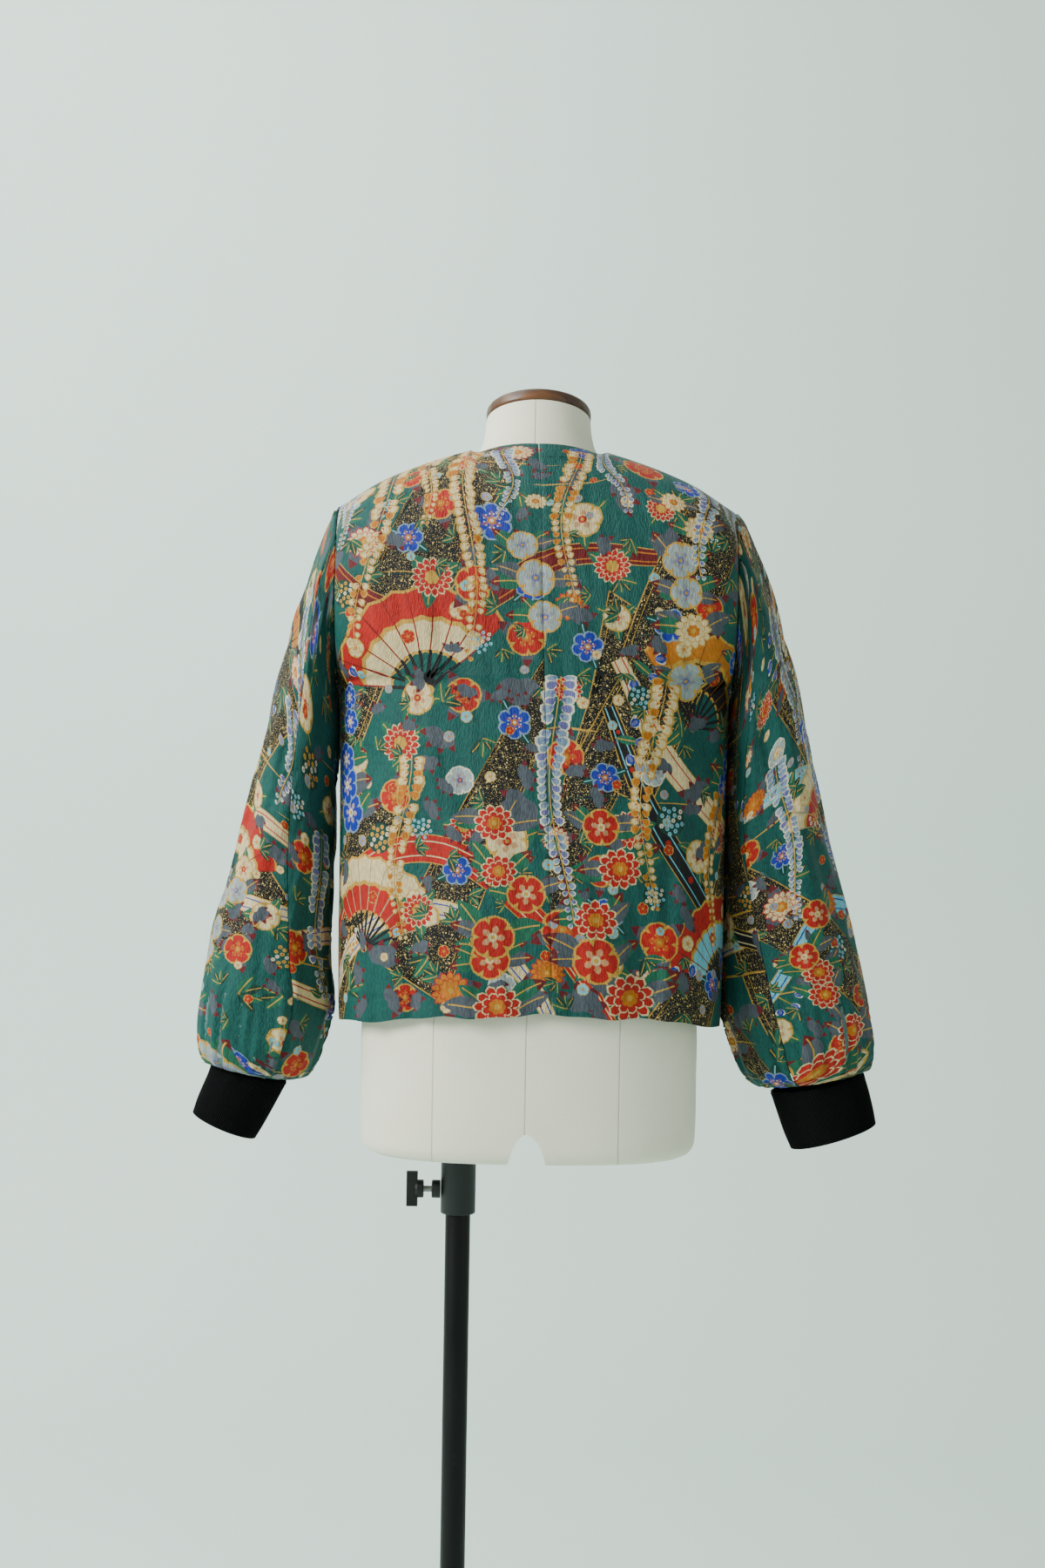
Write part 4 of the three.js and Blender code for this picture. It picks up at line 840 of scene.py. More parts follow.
def flat_mesh(verts, edges, faces, cols, flecks, W, L, grid_n):
    """Lays the polygons over each other, keeps only the edges where the colour
    changes, and triangulates again with those and the grid."""
    lines = [(f[k - 1], f[k]) for f in faces for k in range(len(f))]
    outlines = [np.array([verts[k] for k in f]) for f in faces]
    res = delaunay_2d_cdt([Vector(v) for v in verts], lines + edges, [], 0, 1e-3, False)
    v1 = np.array([(v.x, v.y) for v in res[0]])
    t1 = np.array(res[2])
    cen = v1[t1].mean(1)
    top = paint(cen, outlines)
    looks = {}
    key_of = np.array([looks.setdefault((tuple(np.round(c, 5)), f), len(looks)) for c, f in zip(cols, flecks)] + [-1])
    key = key_of[top]
    inside = (cen[:, 0] > 0) & (cen[:, 0] < W) & (cen[:, 1] > 0) & (cen[:, 1] < L)
    key = np.where(inside, key, -99)
    e = np.sort(np.concatenate([t1[:, [0, 1]], t1[:, [1, 2]], t1[:, [2, 0]]]), 1)
    who = np.tile(np.arange(len(t1)), 3)
    order = np.lexsort((e[:, 1], e[:, 0]))
    e, who = e[order], who[order]
    same = np.all(e[1:] == e[:-1], 1)
    first = np.nonzero(same)[0]
    change = first[key[who[first]] != key[who[first + 1]]]
    keep = e[change]
    # thin out points that lie on straight runs
    near = {}
    for a, b in keep.tolist():
        near.setdefault(a, set()).add(b)
        near.setdefault(b, set()).add(a)
    eps = 1e-3
    for tol in (0.05, 0.09):
        touched = set()
        for v in list(near):
            nb = near[v]
            if len(nb) != 2 or v in touched:
                continue
            x, y = v1[v]
            if x < eps or y < eps or x > W - eps or y > L - eps:
                continue
            a, b = nb
            if b in near[a]:
                continue
            p, q = v1[a], v1[b]
            d = q - p
            ln = math.hypot(d[0], d[1])
            if ln < 1e-6 or ln > 14 or abs(d[0] * (y - p[1]) - d[1] * (x - p[0])) / ln > tol:
                continue
            near[a].discard(v)
            near[b].discard(v)
            near[a].add(b)
            near[b].add(a)
            del near[v]
            touched.add(a)
            touched.add(b)
    ids = {}
    v2 = [(float(x), float(y)) for x, y in verts[:grid_n]]
    for v in near:
        ids[v] = len(v2)
        v2.append((float(v1[v][0]), float(v1[v][1])))
    e2 = [(ids[a], ids[b]) for a in near for b in near[a] if a < b]
    r2 = delaunay_2d_cdt([Vector(v) for v in v2], e2 + edges, [], 0, 2e-3, False)
    out = np.array([(v.x, v.y) for v in r2[0]])
    tris = np.array(r2[2])
    cen = out[tris].mean(1)
    a1, a2 = out[tris[:, 1]] - out[tris[:, 0]], out[tris[:, 2]] - out[tris[:, 0]]
    ar = (a1[:, 0] * a2[:, 1] - a1[:, 1] * a2[:, 0]) / 2
    ok = (cen[:, 0] > 0) & (cen[:, 0] < W) & (cen[:, 1] > 0) & (cen[:, 1] < L) & (np.abs(ar) > 1e-6)
    tris, ar, cen = tris[ok], ar[ok], cen[ok]
    tris[ar < 0] = tris[ar < 0][:, ::-1]
    top = paint(cen, outlines)
    col = np.array(list(cols) + [TEAL], float)[top]
    fleck = np.array(list(flecks) + [0.16], float)[top]
    used = np.unique(tris)
    remap = -np.ones(len(out), int)
    remap[used] = np.arange(len(used))
    uv = out[used]
    uv[:, 0] = np.clip(uv[:, 0], 0, W)
    uv[:, 1] = np.clip(uv[:, 1], 0, L)
    return uv, remap[tris], col, fleck


def cloth_panel(panel, design, offset, flip, grid=5.0, inner_grid=9.0):
    """Builds a panel's mesh: printed outer face, rim, plain inner face. offset
    and flip place the design: p = flip * (distance from the panel's U = 0 edge) + offset."""
    W, L = panel.width, panel.length
    nu, nq = max(8, int(round(W / grid))), max(8, int(round(L / grid)))
    us, qs = np.linspace(0, W, nu + 1), np.linspace(0, L, nq + 1)
    verts = []
    index = {}
    for j, q in enumerate(qs):
        for i, u in enumerate(us):
            # stagger the inside points so that the triangles are even
            du = (0.25 if j % 2 else -0.25) * grid if 0 < i < nu and 0 < j < nq else 0
            index[i, j] = len(verts)
            verts.append((u + du, q))
    edges = []
    for i in range(nu):
        edges += [(index[i, 0], index[i + 1, 0]), (index[i, nq], index[i + 1, nq])]
    for j in range(nq):
        edges += [(index[0, j], index[0, j + 1]), (index[nu, j], index[nu, j + 1])]
    faces, cols, flecks = [], [], []
    for pts, col, fleck in design.items:
        p, q = pts[:, 0], pts[:, 1]
        d = (p - offset) * flip                   # real distance from the U = 0 edge
        qq = np.clip(q, -60, L + 60)
        U = d * W / panel.row_width(np.clip(qq, 0, L))
        if U.max() < 0 or U.min() > W or q.max() < 0 or q.min() > L:
            continue
        U = np.clip(U, -40, W + 40)
        base = len(verts)
        loop = [(float(a), float(b)) for a, b in zip(U, qq)]
        # drop doubled points; every outline runs anticlockwise
        keep = [k for k in range(len(loop)) if math.dist(loop[k], loop[k - 1]) > 0.05]
        if len(keep) < 3:
            continue
        turn2 = sum(loop[keep[k - 1]][0] * loop[keep[k]][1] - loop[keep[k]][0] * loop[keep[k - 1]][1] for k in range(len(keep)))
        if abs(turn2) < 0.05:
            continue
        if turn2 < 0:
            keep = keep[::-1]
        verts += [loop[k] for k in keep]
        faces.append(list(range(base, base + len(keep))))
        cols.append(col)
        flecks.append(fleck)
    uv, tris, tri_col, tri_fleck = flat_mesh(verts, edges, faces, cols, flecks, W, L, (nu + 1) * (nq + 1))
    if panel.turn < 0:
        tris = tris[:, ::-1]
    P = panel.at(uv[:, 0], uv[:, 1])
    N = panel.normals(uv[:, 0], uv[:, 1])

    # rim and inner face
    n0 = len(P)
    thick = CLOTH - 0.4
    e = np.sort(np.concatenate([tris[:, [0, 1]], tris[:, [1, 2]], tris[:, [2, 0]]]), 1)
    uniq, count = np.unique(e, axis=0, return_counts=True)
    border = uniq[count == 1]
    directed = {}
    for t in tris:
        for a, b in ((t[0], t[1]), (t[1], t[2]), (t[2], t[0])):
            directed[(a, b)] = True
    bv = np.unique(border)
    bmap = {int(v): n0 + k for k, v in enumerate(bv)}
    PB = P[bv] - N[bv] * thick
    rim = []
    for a, b in border:
        a, b = int(a), int(b)
        if (a, b) not in directed:
            a, b = b, a
        rim.append((b, a, bmap[a], bmap[b]))
    n1 = n0 + len(bv)
    mu, mq = max(6, int(W / inner_grid)), max(6, int(L / inner_grid))
    IU, IQ = np.meshgrid(np.linspace(0, W, mu + 1)[1:-1], np.linspace(0, L, mq + 1)[1:-1])
    IU, IQ = IU.ravel(), IQ.ravel()
    back_id = {int(v): k for k, v in enumerate(bv)}
    pts = [Vector((float(uv[v, 0]), float(uv[v, 1]))) for v in bv] + [Vector((float(a), float(b))) for a, b in zip(IU, IQ)]
    r3 = delaunay_2d_cdt(pts, [(back_id[int(a)], back_id[int(b)]) for a, b in border], [], 0, 1e-7, True)
    new_id = [o[0] if len(o) else None for o in r3[3]]
    PI = panel.at(IU, IQ) - panel.normals(IU, IQ) * thick
    NI = -panel.normals(IU, IQ)
    quads = []
    for t in r3[2]:
        f = [new_id[k] for k in t]
        if None in f or len(set(f)) < 3:
            continue
        A, B, C = (pts[k] for k in f)
        ar3 = (B.x - A.x) * (C.y - A.y) - (C.x - A.x) * (B.y - A.y)
        if abs(ar3) < 1e-9:
            continue
        g3 = [n0 + k for k in f]
        if (ar3 > 0) == (panel.turn > 0):
            g3 = g3[::-1]
        quads.append(tuple(g3))
    verts3 = np.concatenate([P, PB, PI]) * MM
    all_faces = [tuple(int(x) for x in t) for t in tris] + rim + quads
    ob = new_object(panel.name, verts3, all_faces)
    me = ob.data
    # colours, fleck mask, flat coordinates
    nt, nr, nqd = len(tris), len(rim), len(quads)
    loops = nt * 3 + nr * 4 + nqd * 3
    assert len(me.loops) == loops, (len(me.loops), loops)
    col = np.ones((loops, 4))
    col[:nt * 3, :3] = np.repeat(tri_col, 3, 0)
    col[:nt * 3, 3] = np.repeat(tri_fleck, 3)
    col[nt * 3:nt * 3 + nr * 4, :3] = np.array(TEAL) * .7
    col[nt * 3 + nr * 4:, :3] = np.array(between(TEAL, (.2, .3, .28), .45))
    col[nt * 3:, 3] = 0
    at = me.attributes.new("Dye", 'FLOAT_COLOR', 'CORNER')
    at.data.foreach_set("color", col.astype(np.float32).ravel())
    fu = np.concatenate([uv[:, 0], uv[bv, 0], IU])
    fq = np.concatenate([uv[:, 1], uv[bv, 1], IQ])
    li = np.empty(loops, int)
    me.loops.foreach_get("vertex_index", li)
    prt = me.uv_layers.new(name="Print")
    prt.data.foreach_set("uv", np.stack([fu[li], fq[li]], 1).astype(np.float32).ravel() * 0.001)
    bake = me.uv_layers.new(name="OFBake")
    big = max(W, L)
    bu, bq = fu[li] / big * .86, fq[li] / big
    inner = np.zeros(loops, bool)
    inner[nt * 3 + nr * 4:] = True
    bu = np.where(inner, .88 + fu[li] / W * .11, bu)
    bake.data.foreach_set("uv", np.stack([bu, bq * .985 + .005], 1).astype(np.float32).ravel())
    NB = N[bv]
    normals = np.concatenate([N, NB, NI])[li]
    last = slice(nt * 3 + nr * 4, loops)
    normals[last] = np.concatenate([N, -NB, NI])[li[last]]
    rim_slice = slice(nt * 3, nt * 3 + nr * 4)
    poly_n = np.empty(len(me.polygons) * 3)
    me.polygons.foreach_get("normal", poly_n)
    poly_n = poly_n.reshape(-1, 3)
    normals[rim_slice] = np.repeat(poly_n[nt:nt + nr], 4, 0)
    me.normals_split_custom_set([tuple(n) for n in normals])
    return ob


# ------------------------------------------------------------------ materials
def material(name):
    m = bpy.data.materials.new(name)
    m.use_nodes = True
    nt = m.node_tree
    nt.nodes.clear()
    out = nt.nodes.new('ShaderNodeOutputMaterial')
    bsdf = nt.nodes.new('ShaderNodeBsdfPrincipled')
    nt.links.new(bsdf.outputs[0], out.inputs[0])
    return m, nt, bsdf


def node(nt, kind, **kw):
    n = nt.nodes.new(kind)
    for k, v in kw.items():
        if k == 'inputs':
            for key, val in v.items():
                n.inputs[key].default_value = val
        else:
            setattr(n, k, v)
    return n


def math_node(nt, op, a, b=None, c=None, clamp_it=False):
    n = nt.nodes.new('ShaderNodeMath')
    n.operation = op
    n.use_clamp = clamp_it
    for i, v in enumerate((a, b, c)):
        if v is None:
            continue
        if isinstance(v, (int, float)):
            n.inputs[i].default_value = v
        else:
            nt.links.new(v, n.inputs[i])
    return n.outputs[0]


def mix_col(nt, fac, a, b, mode='MIX'):
    n = nt.nodes.new('ShaderNodeMix')
    n.data_type = 'RGBA'
    n.blend_type = mode
    for key, v in (('Factor', fac), ('A', a), ('B', b)):
        sock = [s for s in n.inputs if s.name == key and (s.type == 'RGBA' or key == 'Factor')][0]
        if isinstance(v, (int, float)):
            sock.default_value = v
        elif isinstance(v, tuple):
            sock.default_value = (*v, 1) if len(v) == 3 else v
        else:
            nt.links.new(v, sock)
    return [o for o in n.outputs if o.type == 'RGBA'][0]


def ramp(nt, fac, stops):
    n = nt.nodes.new('ShaderNodeValToRGB')
    els = n.color_ramp.elements
    while len(els) > 1:
        els.remove(els[-1])
    els[0].position, els[0].color = stops[0][0], (*stops[0][1], 1)
    for p, c in stops[1:]:
        e = els.new(p)
        e.color = (*c, 1)
    nt.links.new(fac, n.inputs[0])
    return n.outputs[0]


def crepe_material():
    m, nt, bsdf = material("crepe_print")
    uv = node(nt, 'ShaderNodeUVMap', uv_map="Print").outputs[0]
    mm = node(nt, 'ShaderNodeVectorMath', operation='SCALE')
    nt.links.new(uv, mm.inputs[0])
    mm.inputs['Scale'].default_value = 1000.0
    mmv = mm.outputs[0]
    dye = node(nt, 'ShaderNodeVertexColor', layer_name="Dye")
    # crepe: uneven crinkled ridges along the length
    warp = node(nt, 'ShaderNodeTexNoise', inputs={'Scale': 0.35, 'Detail': 2.0})
    nt.links.new(mmv, warp.inputs['Vector'])
    wv = node(nt, 'ShaderNodeVectorMath', operation='MULTIPLY_ADD')
    nt.links.new(warp.outputs['Color'], wv.inputs[0])
    wv.inputs[1].default_value = (1.6, 1.0, 0)
    nt.links.new(mmv, wv.inputs[2])
    map1 = node(nt, 'ShaderNodeMapping')
    map1.inputs['Scale'].default_value = (0.75, 0.2, 1)
    nt.links.new(wv.outputs[0], map1.inputs['Vector'])
    vor = node(nt, 'ShaderNodeTexVoronoi', feature='SMOOTH_F1', inputs={'Scale': 1.0, 'Smoothness': 0.6})
    nt.links.new(map1.outputs[0], vor.inputs['Vector'])
    fine = node(nt, 'ShaderNodeTexNoise', inputs={'Scale': 1.5, 'Detail': 3.0, 'Roughness': 0.6})
    map2 = node(nt, 'ShaderNodeMapping')
    map2.inputs['Scale'].default_value = (1.4, 0.55, 1)
    nt.links.new(mmv, map2.inputs['Vector'])
    nt.links.new(map2.outputs[0], fine.inputs['Vector'])
    big = node(nt, 'ShaderNodeTexNoise', inputs={'Scale': 0.02, 'Detail': 2.0})
    nt.links.new(mmv, big.inputs['Vector'])
    h1 = math_node(nt, 'MULTIPLY', vor.outputs['Distance'], -0.9)
    h2 = math_node(nt, 'MULTIPLY_ADD', fine.outputs['Fac'], 0.5, h1)
    bump = node(nt, 'ShaderNodeBump', inputs={'Strength': 0.85, 'Distance': 0.0009})
    nt.links.new(h2, bump.inputs['Height'])
    nt.links.new(bump.outputs[0], bsdf.inputs['Normal'])
    # colour: dye with painted shade in the crinkles and a painted highlight on their crests, slow drift, worn thread
    # specks
    shade = ramp(nt, vor.outputs['Distance'], [(0.1, (1.16, 1.16, 1.16)), (0.75, (0.6, 0.6, 0.63))])
    c1 = mix_col(nt, 0.75, dye.outputs['Color'], shade, 'MULTIPLY')
    drift = ramp(nt, big.outputs['Fac'], [(0.35, (0.86, 0.9, 0.9)), (0.65, (1.1, 1.06, 1.04))])
    c2 = mix_col(nt, 0.8, c1, drift, 'MULTIPLY')
    # gold flecks
    fl = node(nt, 'ShaderNodeTexVoronoi', feature='F1', inputs={'Scale': 0.30, 'Randomness': 1.0})
    nt.links.new(mmv, fl.inputs['Vector'])
    size = math_node(nt, 'MULTIPLY', dye.outputs['Alpha'], 0.30)
    var = node(nt, 'ShaderNodeSeparateColor')
    nt.links.new(fl.outputs['Color'], var.inputs[0])
    size2 = math_node(nt, 'MULTIPLY', size, var.outputs[0])
    on = math_node(nt, 'LESS_THAN', fl.outputs['Distance'], size2)
    fl2 = node(nt, 'ShaderNodeTexVoronoi', feature='F1', inputs={'Scale': 0.8, 'Randomness': 1.0})
    nt.links.new(mmv, fl2.inputs['Vector'])
    s3 = math_node(nt, 'MULTIPLY', dye.outputs['Alpha'], 0.24)
    on2 = math_node(nt, 'LESS_THAN', fl2.outputs['Distance'], s3)
    anyf = math_node(nt, 'MAXIMUM', on, on2)
    c3 = mix_col(nt, anyf, c2, srgb(214, 186, 108))
    nt.links.new(c3, bsdf.inputs['Base Color'])
    rough = ramp(nt, fine.outputs['Fac'], [(0.3, (0.5, 0.5, 0.5)), (0.7, (0.66, 0.66, 0.66))])
    nt.links.new(rough, bsdf.inputs['Roughness'])
    bsdf.inputs['Specular IOR Level'].default_value = 0.26
    bsdf.inputs['Sheen Weight'].default_value = 0.03
    bsdf.inputs['Sheen Roughness'].default_value = 0.4
    bsdf.inputs['Sheen Tint'].default_value = (0.7, 0.95, 0.9, 1)
    return m


def noise_material(name, base, dark, scale, rough=(0.4, 0.6), metal=0.0, bump=0.2, dist=0.0003, detail=4.0, stretch=(1, 1, 1), spec=0.5):
    m, nt, bsdf = material(name)
    tc = node(nt, 'ShaderNodeTexCoord')
    mp = node(nt, 'ShaderNodeMapping')
    mp.inputs['Scale'].default_value = stretch
    nt.links.new(tc.outputs['Object'], mp.inputs['Vector'])
    nz = node(nt, 'ShaderNodeTexNoise', inputs={'Scale': scale, 'Detail': detail, 'Roughness': 0.6})
    nt.links.new(mp.outputs[0], nz.inputs['Vector'])
    nt.links.new(ramp(nt, nz.outputs['Fac'], [(0.3, dark), (0.7, base)]), bsdf.inputs['Base Color'])
    nt.links.new(ramp(nt, nz.outputs['Fac'], [(0.3, (rough[0],) * 3), (0.7, (rough[1],) * 3)]), bsdf.inputs['Roughness'])
    bsdf.inputs['Metallic'].default_value = metal
    bsdf.inputs['Specular IOR Level'].default_value = spec
    bp = node(nt, 'ShaderNodeBump', inputs={'Strength': bump, 'Distance': dist})
    nt.links.new(nz.outputs['Fac'], bp.inputs['Height'])
    nt.links.new(bp.outputs[0], bsdf.inputs['Normal'])
    return m, nt, bsdf, nz, tc


MAT_CREPE = crepe_material()


def form_material():
    m, nt, bsdf = material("form_jersey")
    tc = node(nt, 'ShaderNodeTexCoord')
    sep = node(nt, 'ShaderNodeSeparateXYZ')
    nt.links.new(tc.outputs['Object'], sep.inputs[0])
    line = None
    for x in (-0.0915, -0.003, 0.0865):
        d = math_node(nt, 'ABSOLUTE', math_node(nt, 'SUBTRACT', sep.outputs[0], x))
        v = math_node(nt, 'SUBTRACT', 1.0, math_node(nt, 'DIVIDE', d, 0.0011), clamp_it=True)
        line = v if line is None else math_node(nt, 'MAXIMUM', line, v)
    knit = node(nt, 'ShaderNodeTexWave', wave_type='BANDS', bands_direction='X', inputs={'Scale': 520.0, 'Distortion': 1.5, 'Detail': 2.0})
    nt.links.new(tc.outputs['Object'], knit.inputs['Vector'])
    nz = node(nt, 'ShaderNodeTexNoise', inputs={'Scale': 9.0, 'Detail': 5.0})
    nt.links.new(tc.outputs['Object'], nz.inputs['Vector'])
    fz = node(nt, 'ShaderNodeTexNoise', inputs={'Scale': 900.0, 'Detail': 3.0})
    nt.links.new(tc.outputs['Object'], fz.inputs['Vector'])
    base = ramp(nt, nz.outputs['Fac'], [(0.3, srgb(232, 229, 205)), (0.7, srgb(243, 240, 220))])
    c = mix_col(nt, 0.12, base, ramp(nt, fz.outputs['Fac'], [(0.35, (.6, .58, .52)), (0.65, (1, 1, 1))]), 'MULTIPLY')
    dark = math_node(nt, 'MULTIPLY', line, 0.45)
    c = mix_col(nt, dark, c, srgb(120, 112, 98))
    nt.links.new(c, bsdf.inputs['Base Color'])
    bsdf.inputs['Roughness'].default_value = 0.86
    bsdf.inputs['Sheen Weight'].default_value = 0.15
    h = math_node(nt, 'MULTIPLY_ADD', knit.outputs['Fac'], 0.25, math_node(nt, 'MULTIPLY', fz.outputs['Fac'], 0.5))
    h = math_node(nt, 'SUBTRACT', h, math_node(nt, 'MULTIPLY', line, 3.0))
    bp = node(nt, 'ShaderNodeBump', inputs={'Strength': 0.5, 'Distance': 0.0003})
    nt.links.new(h, bp.inputs['Height'])
    nt.links.new(bp.outputs[0], bsdf.inputs['Normal'])
    return m


def wood_material():
    m, nt, bsdf = material("dark_walnut")
    tc = node(nt, 'ShaderNodeTexCoord')
    mp = node(nt, 'ShaderNodeMapping')
    mp.inputs['Scale'].default_value = (14, 120, 60)
    nt.links.new(tc.outputs['Object'], mp.inputs['Vector'])
    nz = node(nt, 'ShaderNodeTexNoise', inputs={'Scale': 1.0, 'Detail': 6.0, 'Distortion': 0.8})
    nt.links.new(mp.outputs[0], nz.inputs['Vector'])
    nt.links.new(ramp(nt, nz.outputs['Fac'], [(0.3, srgb(44, 26, 15)), (0.52, srgb(78, 48, 28)), (0.7, srgb(112, 72, 40))]), bsdf.inputs['Base Color'])
    nt.links.new(ramp(nt, nz.outputs['Fac'], [(0.3, (.5, .5, .5)), (0.7, (.34, .34, .34))]), bsdf.inputs['Roughness'])
    bp = node(nt, 'ShaderNodeBump', inputs={'Strength': 0.25, 'Distance': 0.0004})
    nt.links.new(nz.outputs['Fac'], bp.inputs['Height'])
    nt.links.new(bp.outputs[0], bsdf.inputs['Normal'])
    return m


def lacquer(name, base, spec, rough):
    m, nt, bsdf = material(name)
    tc = node(nt, 'ShaderNodeTexCoord')
    nz = node(nt, 'ShaderNodeTexNoise', inputs={'Scale': 14.0, 'Detail': 4.0})
    nt.links.new(tc.outputs['Object'], nz.inputs['Vector'])
    mp = node(nt, 'ShaderNodeMapping')
    mp.inputs['Scale'].default_value = (260, 260, 22)
    nt.links.new(tc.outputs['Object'], mp.inputs['Vector'])
    sc = node(nt, 'ShaderNodeTexNoise', inputs={'Scale': 1.0, 'Detail': 5.0, 'Roughness': 0.7})
    nt.links.new(mp.outputs[0], sc.inputs['Vector'])
    scr = ramp(nt, sc.outputs['Fac'], [(0.66, (0, 0, 0)), (0.72, (1, 1, 1))])
    c = ramp(nt, nz.outputs['Fac'], [(0.3, tint(base, .8)), (0.7, tint(base, 1.25))])
    bw = node(nt, 'ShaderNodeRGBToBW')
    nt.links.new(scr, bw.inputs[0])
    c = mix_col(nt, math_node(nt, 'MULTIPLY', bw.outputs[0], 0.3), c, srgb(70, 82, 80))
    nt.links.new(c, bsdf.inputs['Base Color'])
    nt.links.new(ramp(nt, nz.outputs['Fac'], [(0.3, (rough * .85,) * 3), (0.7, (rough * 1.15,) * 3)]), bsdf.inputs['Roughness'])
    bsdf.inputs['Specular IOR Level'].default_value = spec
    bp = node(nt, 'ShaderNodeBump', inputs={'Strength': 0.15, 'Distance': 0.0002})
    nt.links.new(sc.outputs['Fac'], bp.inputs['Height'])
    nt.links.new(bp.outputs[0], bsdf.inputs['Normal'])
    return m


MAT_FORM = form_material()
MAT_WOOD = wood_material()
MAT_POLE = lacquer("pole_lacquer", srgb(2, 4, 5), 0.22, 0.42)
MAT_FIT = lacquer("fitting_paint", srgb(14, 19, 20), 0.35, 0.5)
MAT_KNOB = lacquer("knob_plastic", srgb(12, 15, 15), 0.35, 0.5)
MAT_STEEL, _nt, _b, _n, _t = noise_material("screw_steel", srgb(150, 150, 146), srgb(110, 110, 108), 90.0, (0.28, 0.42), 0.95)


def knit_material():
    m, nt, bsdf = material("cuff_knit")
    uv = node(nt, 'ShaderNodeUVMap', uv_map="Print").outputs[0]
    mp = node(nt, 'ShaderNodeMapping')
    mp.inputs['Scale'].default_value = (1000, 1000, 1)
    nt.links.new(uv, mp.inputs['Vector'])
    wv = node(nt, 'ShaderNodeTexWave', wave_type='BANDS', bands_direction='Y', inputs={'Scale': 0.32, 'Distortion': 2.0, 'Detail': 2.0, 'Detail Scale': 2.0})
    nt.links.new(mp.outputs[0], wv.inputs['Vector'])
    nz = node(nt, 'ShaderNodeTexNoise', inputs={'Scale': 2.2, 'Detail': 4.0})
    nt.links.new(mp.outputs[0], nz.inputs['Vector'])
    c = ramp(nt, nz.outputs['Fac'], [(0.3, (0.0006, 0.0006, 0.0009)), (0.7, (0.0022, 0.0022, 0.003))])
    nt.links.new(c, bsdf.inputs['Base Color'])
    bsdf.inputs['Roughness'].default_value = 0.95
    bsdf.inputs['Specular IOR Level'].default_value = 0.12
    bsdf.inputs['Sheen Weight'].default_value = 0.02
    bsdf.inputs['Sheen Roughness'].default_value = 0.6
    h = math_node(nt, 'MULTIPLY_ADD', nz.outputs['Fac'], 0.7, math_node(nt, 'MULTIPLY', wv.outputs['Fac'], 0.6))
    bp = node(nt, 'ShaderNodeBump', inputs={'Strength': 0.6, 'Distance': 0.0004})
    nt.links.new(h, bp.inputs['Height'])
    nt.links.new(bp.outputs[0], bsdf.inputs['Normal'])
    return m


MAT_KNIT = knit_material()

# ------------------------------------------------------------------ jacket panels
GRID = 5.0
panels = {}
design_back = back_design()
one = lambda k: (lambda v: np.full_like(np.asarray(v, float), k))
for side in (-1, 1):
    hand = 'left' if side < 0 else 'right'
    for face in ('back', 'front'):
        raw = (lambda a, v, fine, s=side, f=face: body_point(s, f, a, v, fine))
        turn = -1 if (side < 0) == (face == 'back') else 1
        pn = Panel(f"{face}_{hand}_cloth", raw, one(0.0008), one(0.9992), 0.9985, turn)
        panels[face, side] = pn
        if face == 'back':
            ob = cloth_panel(pn, design_back, 0.0, float(side), GRID)
        else:
            fans = [(120, 330, 84, 2.2, 2.2, 'red', 'cream'), (70, 80, 74, 1.2, 2.1, 'aqua', 'black')] if side > 0 else \
                   [(110, 180, 88, 1.7, 2.2, 'cream', 'red'), (90, 420, 70, 2.0, 2.1, 'black', 'amber')]
            ob = cloth_panel(pn, plain_design(31 + side, 0, pn.width, pn.length, 6, fans), 0.0, 1.0, GRID)
        ob.data.materials.append(MAT_CREPE)
        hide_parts(f"{face}_{hand}")
        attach(ob, "form")
        min(pn.area, pn.width * pn.length * 1e-6)

for side in (-1, 1):
    hand = 'left' if side < 0 else 'right'
    tb = SLEEVE[side]
    raw = (lambda a, v, fine, s=side: sleeve_point(s, a, v, fine))
    gap = 0.25
    fore = lambda v, tb=tb: read(tb, 't', 'fore', np.asarray(v, float) / 0.9965)
    back = lambda v, tb=tb: read(tb, 't', 'back', np.asarray(v, float) / 0.9965)
    spec = (('outer', lambda v, f=fore: -f(v) + gap, lambda v, b=back: b(v) - gap),
            ('inner', lambda v, b=back: b(v) + gap, lambda v, f=fore: 360 - f(v) - gap))
    for part, a0, a1 in spec:
        pn = Panel(f"sleeve_{hand}_{part}_cloth", raw, a0, a1, 0.9965, -1.0 if side < 0 else 1.0)
        panels['sleeve_' + part, side] = pn
        seed = {('outer', -1): 41, ('outer', 1): 45, ('inner', -1): 48, ('inner', 1): 52}[part, side]
        fans = []
        if part == 'outer':
            fans = [(150, 190, 78, 1.6, 2.2, 'red', 'cream'), (160, 430, 66, 1.2, 2.1, 'black', 'amber')] if side < 0 else \
                   [(150, 250, 78, 1.4, 2.2, 'cream', 'red'), (140, 480, 66, 1.9, 2.1, 'aqua', 'black')]
        # Q runs down the arm, so the design is turned to stand upright
        dd = plain_design(seed, 0, pn.width, pn.length, 5 if part == 'outer' else 3, fans)
        for k, (pts, c, f) in enumerate(dd.items):
            dd.items[k] = (np.stack([pts[:, 0], pn.length - pts[:, 1]], 1), c, f)
        ob = cloth_panel(pn, dd, 0.0, 1.0, GRID)
        ob.data.materials.append(MAT_CREPE)
        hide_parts(f"sleeve_{hand}_{part}")
        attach(ob, "form")
        min(pn.area, pn.width * pn.length * 1e-6)


